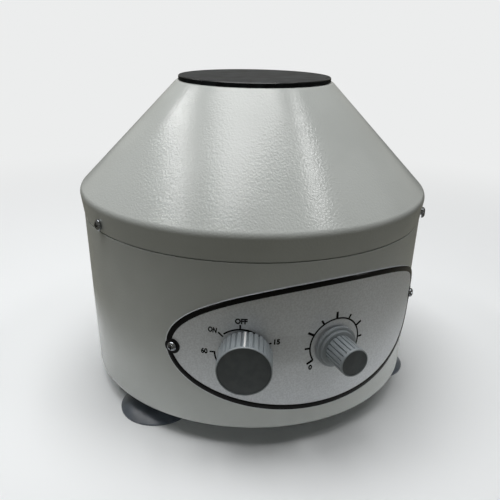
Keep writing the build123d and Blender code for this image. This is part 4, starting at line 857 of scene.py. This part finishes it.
class CENTRIFUGE_OT_add_speed_dial(bpy.types.Operator):
    """Print the speed dial: an arc with nine ticks from a nought"""

    bl_idname = "centrifuge.add_speed_dial"
    bl_label = "Speed dial"

    def execute(self, context):
        sizes = context.scene.centrifuge_sizes
        radius, line, lean = sizes.speed_radius, sizes.dial_line, sizes.speed_dial_lean
        arc_end, step = 120, 30
        # End radius and width of the long and the short ticks, by turns.
        ticks = ((23.5 * MM, 1.7 * MM), (22.2 * MM, 1.4 * MM))
        shape = bmesh.new()
        add_arc(shape, radius, line, radians(-arc_end) + lean, radians(arc_end) + lean)
        for index, turn in enumerate(range(-arc_end, arc_end + 1, step)):
            end, width = ticks[index % 2]
            add_tick(shape, radius, end, width, radians(turn) + lean)
        place = (sizes, sizes.speed_dial_angle, sizes.speed_dial_height)
        print_dial("speed_dial_lines", shape, *place)
        print_words("speed_dial_words", (("0", 23.05, -131, 0, 1.0),), *place)
        return {"FINISHED"}


def capped(rows):
    """Closed solid through rows of as many points, with a flat face at each end."""
    shape = bmesh.new()
    rings = [[shape.verts.new(point) for point in row] for row in rows]
    join_rings(shape, rings, closed=False)
    shape.faces.new(rings[0])
    shape.faces.new(rings[-1])
    return shape


def add_knob(name, node, outline, flutes, groove_width, seat, body):
    """Knob on its seat, through (radius, height, groove depth) points, all in millimetres."""
    shape = fluted([[c * MM for c in point] for point in outline], flutes, groove_width * MM)
    bmesh.ops.transform(shape, verts=shape.verts, matrix=seat)
    knob = finish_mesh(name, shape, "moulded_abs", body)
    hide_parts(node)


def add_cap(name, node, outline, seat, body):
    """Flat round cap on a knob's seat, through (radius, height) points in millimetres."""
    turns = round_turns(CAP_SEGMENTS)
    shape = capped(
        [[(r * MM * cos(a), r * MM * sin(a), z * MM) for a in turns] for r, z in outline]
    )
    bmesh.ops.transform(shape, verts=shape.verts, matrix=seat)
    cap = finish_mesh(name, shape, "matt_abs", body)
    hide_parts(node)


class CENTRIFUGE_OT_add_timer_knob(bpy.types.Operator):
    """Add the large fluted knob, the dark cap in its face and its pointer"""

    bl_idname = "centrifuge.add_timer_knob"
    bl_label = "Timer knob"

    def execute(self, context):
        sizes = context.scene.centrifuge_sizes
        groove, groove_width = 1.5, 1.35
        outline = [
            (3.0, 7.2, 0), (12.0, 7.2, 0), (12.0, 2.2, 0), (17.3, 2.2, groove * 0.8),
            (17.6, 2.35, groove), (17.7, 2.7, groove), (17.62, 19.4, groove),
            (17.61, 19.7, groove * 0.5), (17.6, 19.85, 0), (17.57, 20.4, 0),
            (17.47, 20.85, 0), (17.25, 21.12, 0), (17.05, 21.18, 0), (16.9, 21.1, 0),
            (16.85, 20.9, 0), (16.85, 19.4, 0), (3.0, 19.4, 0),
        ]
        seat = wall_seat(sizes, sizes.timer_angle, sizes.timer_height)
        add_knob(
            "fluted_timer_knob", "timer_knob", outline, sizes.timer_flutes, groove_width, seat,
            "timer_dial",
        )
        cap = [
            (14, 19.45), (16.75, 19.45), (16.8, 20.5), (16.73, 20.68), (16.55, 20.78), (16.25, 20.8)
        ]
        add_cap("timer_knob_cap", "timer_knob_disc", cap, seat, "timer_dial")

        # Section of the pointer across the knob's side, and (height, dip) along the side.
        side = 17.7
        section = [(-0.5, -0.7), (0.5, -0.7), (0.5, 0.0), (0.32, 0.12), (-0.32, 0.12), (-0.5, 0.0)]
        path = [(2.9, 0.3), (3.2, 0), (19.9, 0), (20.3, 0.3)]
        shape = capped(
            [[(x * MM, (side + y - dip) * MM, z * MM) for x, y in section] for z, dip in path]
        )
        bmesh.ops.transform(shape, verts=shape.verts, matrix=seat)
        strip_piece = finish_mesh(
            "timer_pointer_strip", shape, "white_acrylic", "timer_dial"
        )
        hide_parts("timer_pointer")
        return {"FINISHED"}


class CENTRIFUGE_OT_add_speed_knob(bpy.types.Operator):
    """Add the small ribbed knob with its stepped skirt and its dark cap"""

    bl_idname = "centrifuge.add_speed_knob"
    bl_label = "Speed knob"

    def execute(self, context):
        sizes = context.scene.centrifuge_sizes
        groove, groove_width = 1.3, 1.15
        outline = [
            (3.0, 5.2, 0), (6.6, 5.2, 0), (6.6, 2.0, 0), (14.6, 2.0, 0), (14.8, 2.2, 0),
            (14.8, 3.75, 0), (14.68, 4.12, 0), (14.35, 4.34, 0), (13.9, 4.4, 0),
            (12.85, 4.44, 0), (12.62, 4.65, 0), (12.57, 6.0, 0), (12.35, 6.3, 0),
            (11.95, 6.4, 0), (10.0, 6.4, groove * 0.6), (9.85, 6.6, groove),
            (9.95, 22.6, groove), (9.96, 22.9, groove * 0.5), (9.97, 23.1, 0),
            (9.95, 23.9, 0), (9.85, 24.35, 0), (9.65, 24.65, 0), (9.4, 24.78, 0),
            (9.22, 24.8, 0), (9.1, 24.7, 0), (9.06, 24.5, 0), (9.06, 23.4, 0),
            (3.0, 23.4, 0),
        ]
        seat = wall_seat(sizes, sizes.speed_angle, sizes.speed_height)
        add_knob(
            "ribbed_speed_knob", "speed_knob", outline, sizes.speed_flutes, groove_width, seat,
            "speed_dial",
        )
        cap = [(6.0, 23.45), (8.98, 23.45), (9.0, 24.2), (8.94, 24.38), (8.78, 24.48), (8.5, 24.5)]
        add_cap("speed_knob_cap", "speed_knob_disc", cap, seat, "speed_dial")
        return {"FINISHED"}


# ---------------------------------------------------------------- stage
CAMERA_DISTANCE = 463.5 * MM
CAMERA_HEIGHT = 275.5 * MM
CAMERA_TURN = radians(-24.4)
CAMERA_PITCH = radians(21.10)
CAMERA_YAW = radians(-0.114)
CAMERA_ROLL = radians(1.129)
CAMERA_LENS = 43.19
CAMERA_SENSOR = 36
# (name, middles of its two ends, width, height aimed at, power in watts, spread in degrees)
LAMPS = (
    ("top_lamp", (-0.1, -0.46, 1.5), (-0.1, 0.54, 1.5), 1.0, 0.12, 18, 180),
    ("right_strip", (0.64, -0.2, 1.35), (0.47, -0.68, 1.24), 0.1, 0.12, 1.9, 180),
    ("left_strip", (-0.56, 0.93, 0.97), (-0.84, -0.06, 1.22), 0.1, 0.12, 3.2, 180),
    ("back_lamp", (0.9, 0.9, 1.1), (0.1, 1.25, 1.1), 0.3, 0.2, 2.0, 180),
    ("low_left_lamp", (-0.68, -0.33, 0.03), (-0.56, -0.51, 0.03), 0.06, -0.02, 0.014, 30),
    ("low_right_lamp", (0.62, -0.41, 0.03), (0.48, -0.59, 0.03), 0.06, -0.02, 0.045, 30),
)
# The pale backdrop that the camera sees, and the walls that glossy surfaces mirror.
PALE = "#ECEDED"
WALLS = "#93918A"
# The weak light of the room from all sides.
ROOM_LIGHT = (1, 0.97, 0.9)
ROOM_STRENGTH = 0.03
# The floor near the machine, and far from it where it is mirrored or lights the machine.
FLOOR = "#EFF1F2"
FLOOR_FAR = "#7C7A70"
FLOOR_HALF_WIDTH = 40
# Distances from the axis over which the floor goes from near to far, and fades into the backdrop.
TABLE_REACH = (0.15, 0.25)
FADE_REACH = (0.24, 0.9)


def add_camera(scene):
    """Camera at the front left, above the machine and looking down at it."""
    heading = CAMERA_TURN - CAMERA_YAW
    level = cos(CAMERA_PITCH)
    ahead = Vector((-sin(heading) * level, cos(heading) * level, -sin(CAMERA_PITCH)))
    side = ahead.cross(Vector((0, 0, 1))).normalized()
    up = side.cross(ahead)
    right = side * cos(CAMERA_ROLL) + up * sin(CAMERA_ROLL)
    top = up * cos(CAMERA_ROLL) - side * sin(CAMERA_ROLL)
    data = bpy.data.cameras.new("camera")
    data.lens = CAMERA_LENS
    data.sensor_width = CAMERA_SENSOR
    camera = bpy.data.objects.new("camera", data)
    place = outward(CAMERA_TURN) * CAMERA_DISTANCE + Vector((0, 0, CAMERA_HEIGHT))
    turn = Matrix((right, top, -ahead)).transposed()
    camera.matrix_world = Matrix.Translation(place) @ turn.to_4x4()
    scene.collection.objects.link(camera)
    scene.camera = camera


def add_lamp(scene, name, start, end, width, aim, power, spread):
    """Soft lamp between two ends, aimed at a height on the machine's axis."""
    start, end = Vector(start), Vector(end)
    data = bpy.data.lights.new(name, "AREA")
    data.shape = "RECTANGLE"
    data.size, data.size_y = width, (end - start).length
    data.energy = power
    data.spread = radians(spread)
    lamp = bpy.data.objects.new(name, data)
    lamp.visible_camera = False
    place = (start + end) / 2
    back = (place - Vector((0, 0, aim))).normalized()
    side = (end - start).cross(back).normalized()
    turn = Matrix((side, back.cross(side), back)).transposed()
    lamp.matrix_world = Matrix.Translation(place) @ turn.to_4x4()
    scene.collection.objects.link(lamp)


def pale_rays(tree):
    """1 for camera and glass rays, 0 for mirror rays and rays that carry light onto the machine."""
    rays = add_node(tree, "ShaderNodeLightPath").outputs
    return add_node(
        tree,
        "ShaderNodeMath",
        {0: rays["Is Camera Ray"], 1: rays["Is Transmission Ray"]},
        operation="MAXIMUM",
    ).outputs[0]


def add_world(scene):
    """World that is pale to the camera, mid-grey in mirrors and a weak light for the machine."""
    world = bpy.data.worlds.new("studio")
    world.use_nodes = True
    scene.world = world
    tree = world.node_tree
    tree.nodes.clear()
    room, walls, pale = (
        add_node(
            tree, "ShaderNodeBackground", {"Color": (*colour, 1), "Strength": strength}
        ).outputs[0]
        for colour, strength in ((ROOM_LIGHT, ROOM_STRENGTH), (srgb(WALLS), 1), (srgb(PALE), 1))
    )
    mirrored = add_node(tree, "ShaderNodeLightPath").outputs["Is Glossy Ray"]
    around = add_node(tree, "ShaderNodeMixShader", {0: mirrored, 1: room, 2: walls}).outputs[0]
    mixed = add_node(tree, "ShaderNodeMixShader", {0: pale_rays(tree), 1: around, 2: pale})
    add_node(tree, "ShaderNodeOutputWorld", {"Surface": mixed.outputs[0]})


def floor_paper():
    """Pale paper that keeps the machine's shadow and fades into the backdrop for the camera."""
    material = bpy.data.materials.new("pale_floor")
    material.use_nodes = True
    tree = material.node_tree
    tree.nodes.clear()
    place = add_node(tree, "ShaderNodeTexCoord").outputs["Object"]
    far = add_node(tree, "ShaderNodeVectorMath", {0: place}, operation="LENGTH").outputs["Value"]
    fade, edge = (
        add_node(
            tree,
            "ShaderNodeMapRange",
            {"Value": far, "From Min": reach[0], "From Max": reach[1]},
            interpolation_type="SMOOTHSTEP",
        ).outputs["Result"]
        for reach in (FADE_REACH, TABLE_REACH)
    )
    seen = pale_rays(tree)
    share = add_node(tree, "ShaderNodeMath", {0: fade, 1: seen}, operation="MULTIPLY")
    dim = add_node(tree, "ShaderNodeMath", {0: edge, 1: seen}, operation="SUBTRACT", use_clamp=True)
    near_tone, far_tone = (*srgb(FLOOR), 1), (*srgb(FLOOR_FAR), 1)
    tone = add_node(
        tree,
        "ShaderNodeMix",
        {MIX_SHARE: dim.outputs[0], MIX_FIRST: near_tone, MIX_SECOND: far_tone},
        data_type="RGBA",
    )
    paper = add_node(tree, "ShaderNodeBsdfDiffuse", {"Color": tone.outputs[MIX_RESULT]})
    glow = add_node(tree, "ShaderNodeEmission", {"Color": (*srgb(PALE), 1), "Strength": 1})
    surface = add_node(
        tree, "ShaderNodeMixShader", {0: share.outputs[0], 1: paper.outputs[0], 2: glow.outputs[0]}
    )
    add_node(tree, "ShaderNodeOutputMaterial", {"Surface": surface.outputs[0]})
    return material


def add_floor(scene):
    """Wide flat floor under the machine."""
    floor = bpy.data.meshes.new("floor")
    reach = FLOOR_HALF_WIDTH
    corners = [(-reach, -reach, 0), (reach, -reach, 0), (reach, reach, 0), (-reach, reach, 0)]
    floor.from_pydata(corners, [], [(0, 1, 2, 3)])
    floor.materials.append(floor_paper())
    ground = bpy.data.objects.new("floor", floor)
    scene.collection.objects.link(ground)


class CENTRIFUGE_OT_add_stage(bpy.types.Operator):
    """Add the camera, the soft lamps, the pale world and the floor"""

    bl_idname = "centrifuge.add_stage"
    bl_label = "Stage"

    def execute(self, context):
        scene = context.scene
        scene.view_settings.view_transform = "Standard"
        add_camera(scene)
        for lamp in LAMPS:
            add_lamp(scene, *lamp)
        add_world(scene)
        add_floor(scene)
        return {"FINISHED"}


class CENTRIFUGE_PT_pieces(bpy.types.Panel):
    """Lists the operators that dress the centrifuge"""

    bl_idname = "CENTRIFUGE_PT_pieces"
    bl_label = "Bench centrifuge"
    bl_space_type = "VIEW_3D"
    bl_region_type = "UI"
    bl_category = "Centrifuge"

    def draw(self, context):
        for operator in OPERATORS:
            self.layout.operator(operator.bl_idname)
        for group in (context.scene.centrifuge_sizes, context.scene.centrifuge_colours):
            for name in group.__annotations__:
                self.layout.prop(group, name)


OPERATORS = (
    CENTRIFUGE_OT_add_stage,
    CENTRIFUGE_OT_dress_frame,
    CENTRIFUGE_OT_add_drum,
    CENTRIFUGE_OT_add_cover,
    CENTRIFUGE_OT_add_border,
    CENTRIFUGE_OT_add_timer_dial,
    CENTRIFUGE_OT_add_speed_dial,
    CENTRIFUGE_OT_add_timer_knob,
    CENTRIFUGE_OT_add_speed_knob,
)
CLASSES = (CentrifugeSizes, CentrifugeColours, *OPERATORS, CENTRIFUGE_PT_pieces)


def register():
    """Register the classes and hang the settings on the scene."""
    for each in CLASSES:
        bpy.utils.register_class(each)
    bpy.types.Scene.centrifuge_sizes = PointerProperty(type=CentrifugeSizes)
    bpy.types.Scene.centrifuge_colours = PointerProperty(type=CentrifugeColours)


def unregister():
    """Take the settings off the scene and unregister the classes."""
    del bpy.types.Scene.centrifuge_colours
    del bpy.types.Scene.centrifuge_sizes
    for each in reversed(CLASSES):
        bpy.utils.unregister_class(each)


def main():
    """Build the scene."""
    register()
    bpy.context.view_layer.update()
    for operator in OPERATORS:
        group, name = operator.bl_idname.split(".")
        getattr(getattr(bpy.ops, group), name)()


if __name__ == "__main__":
    main()
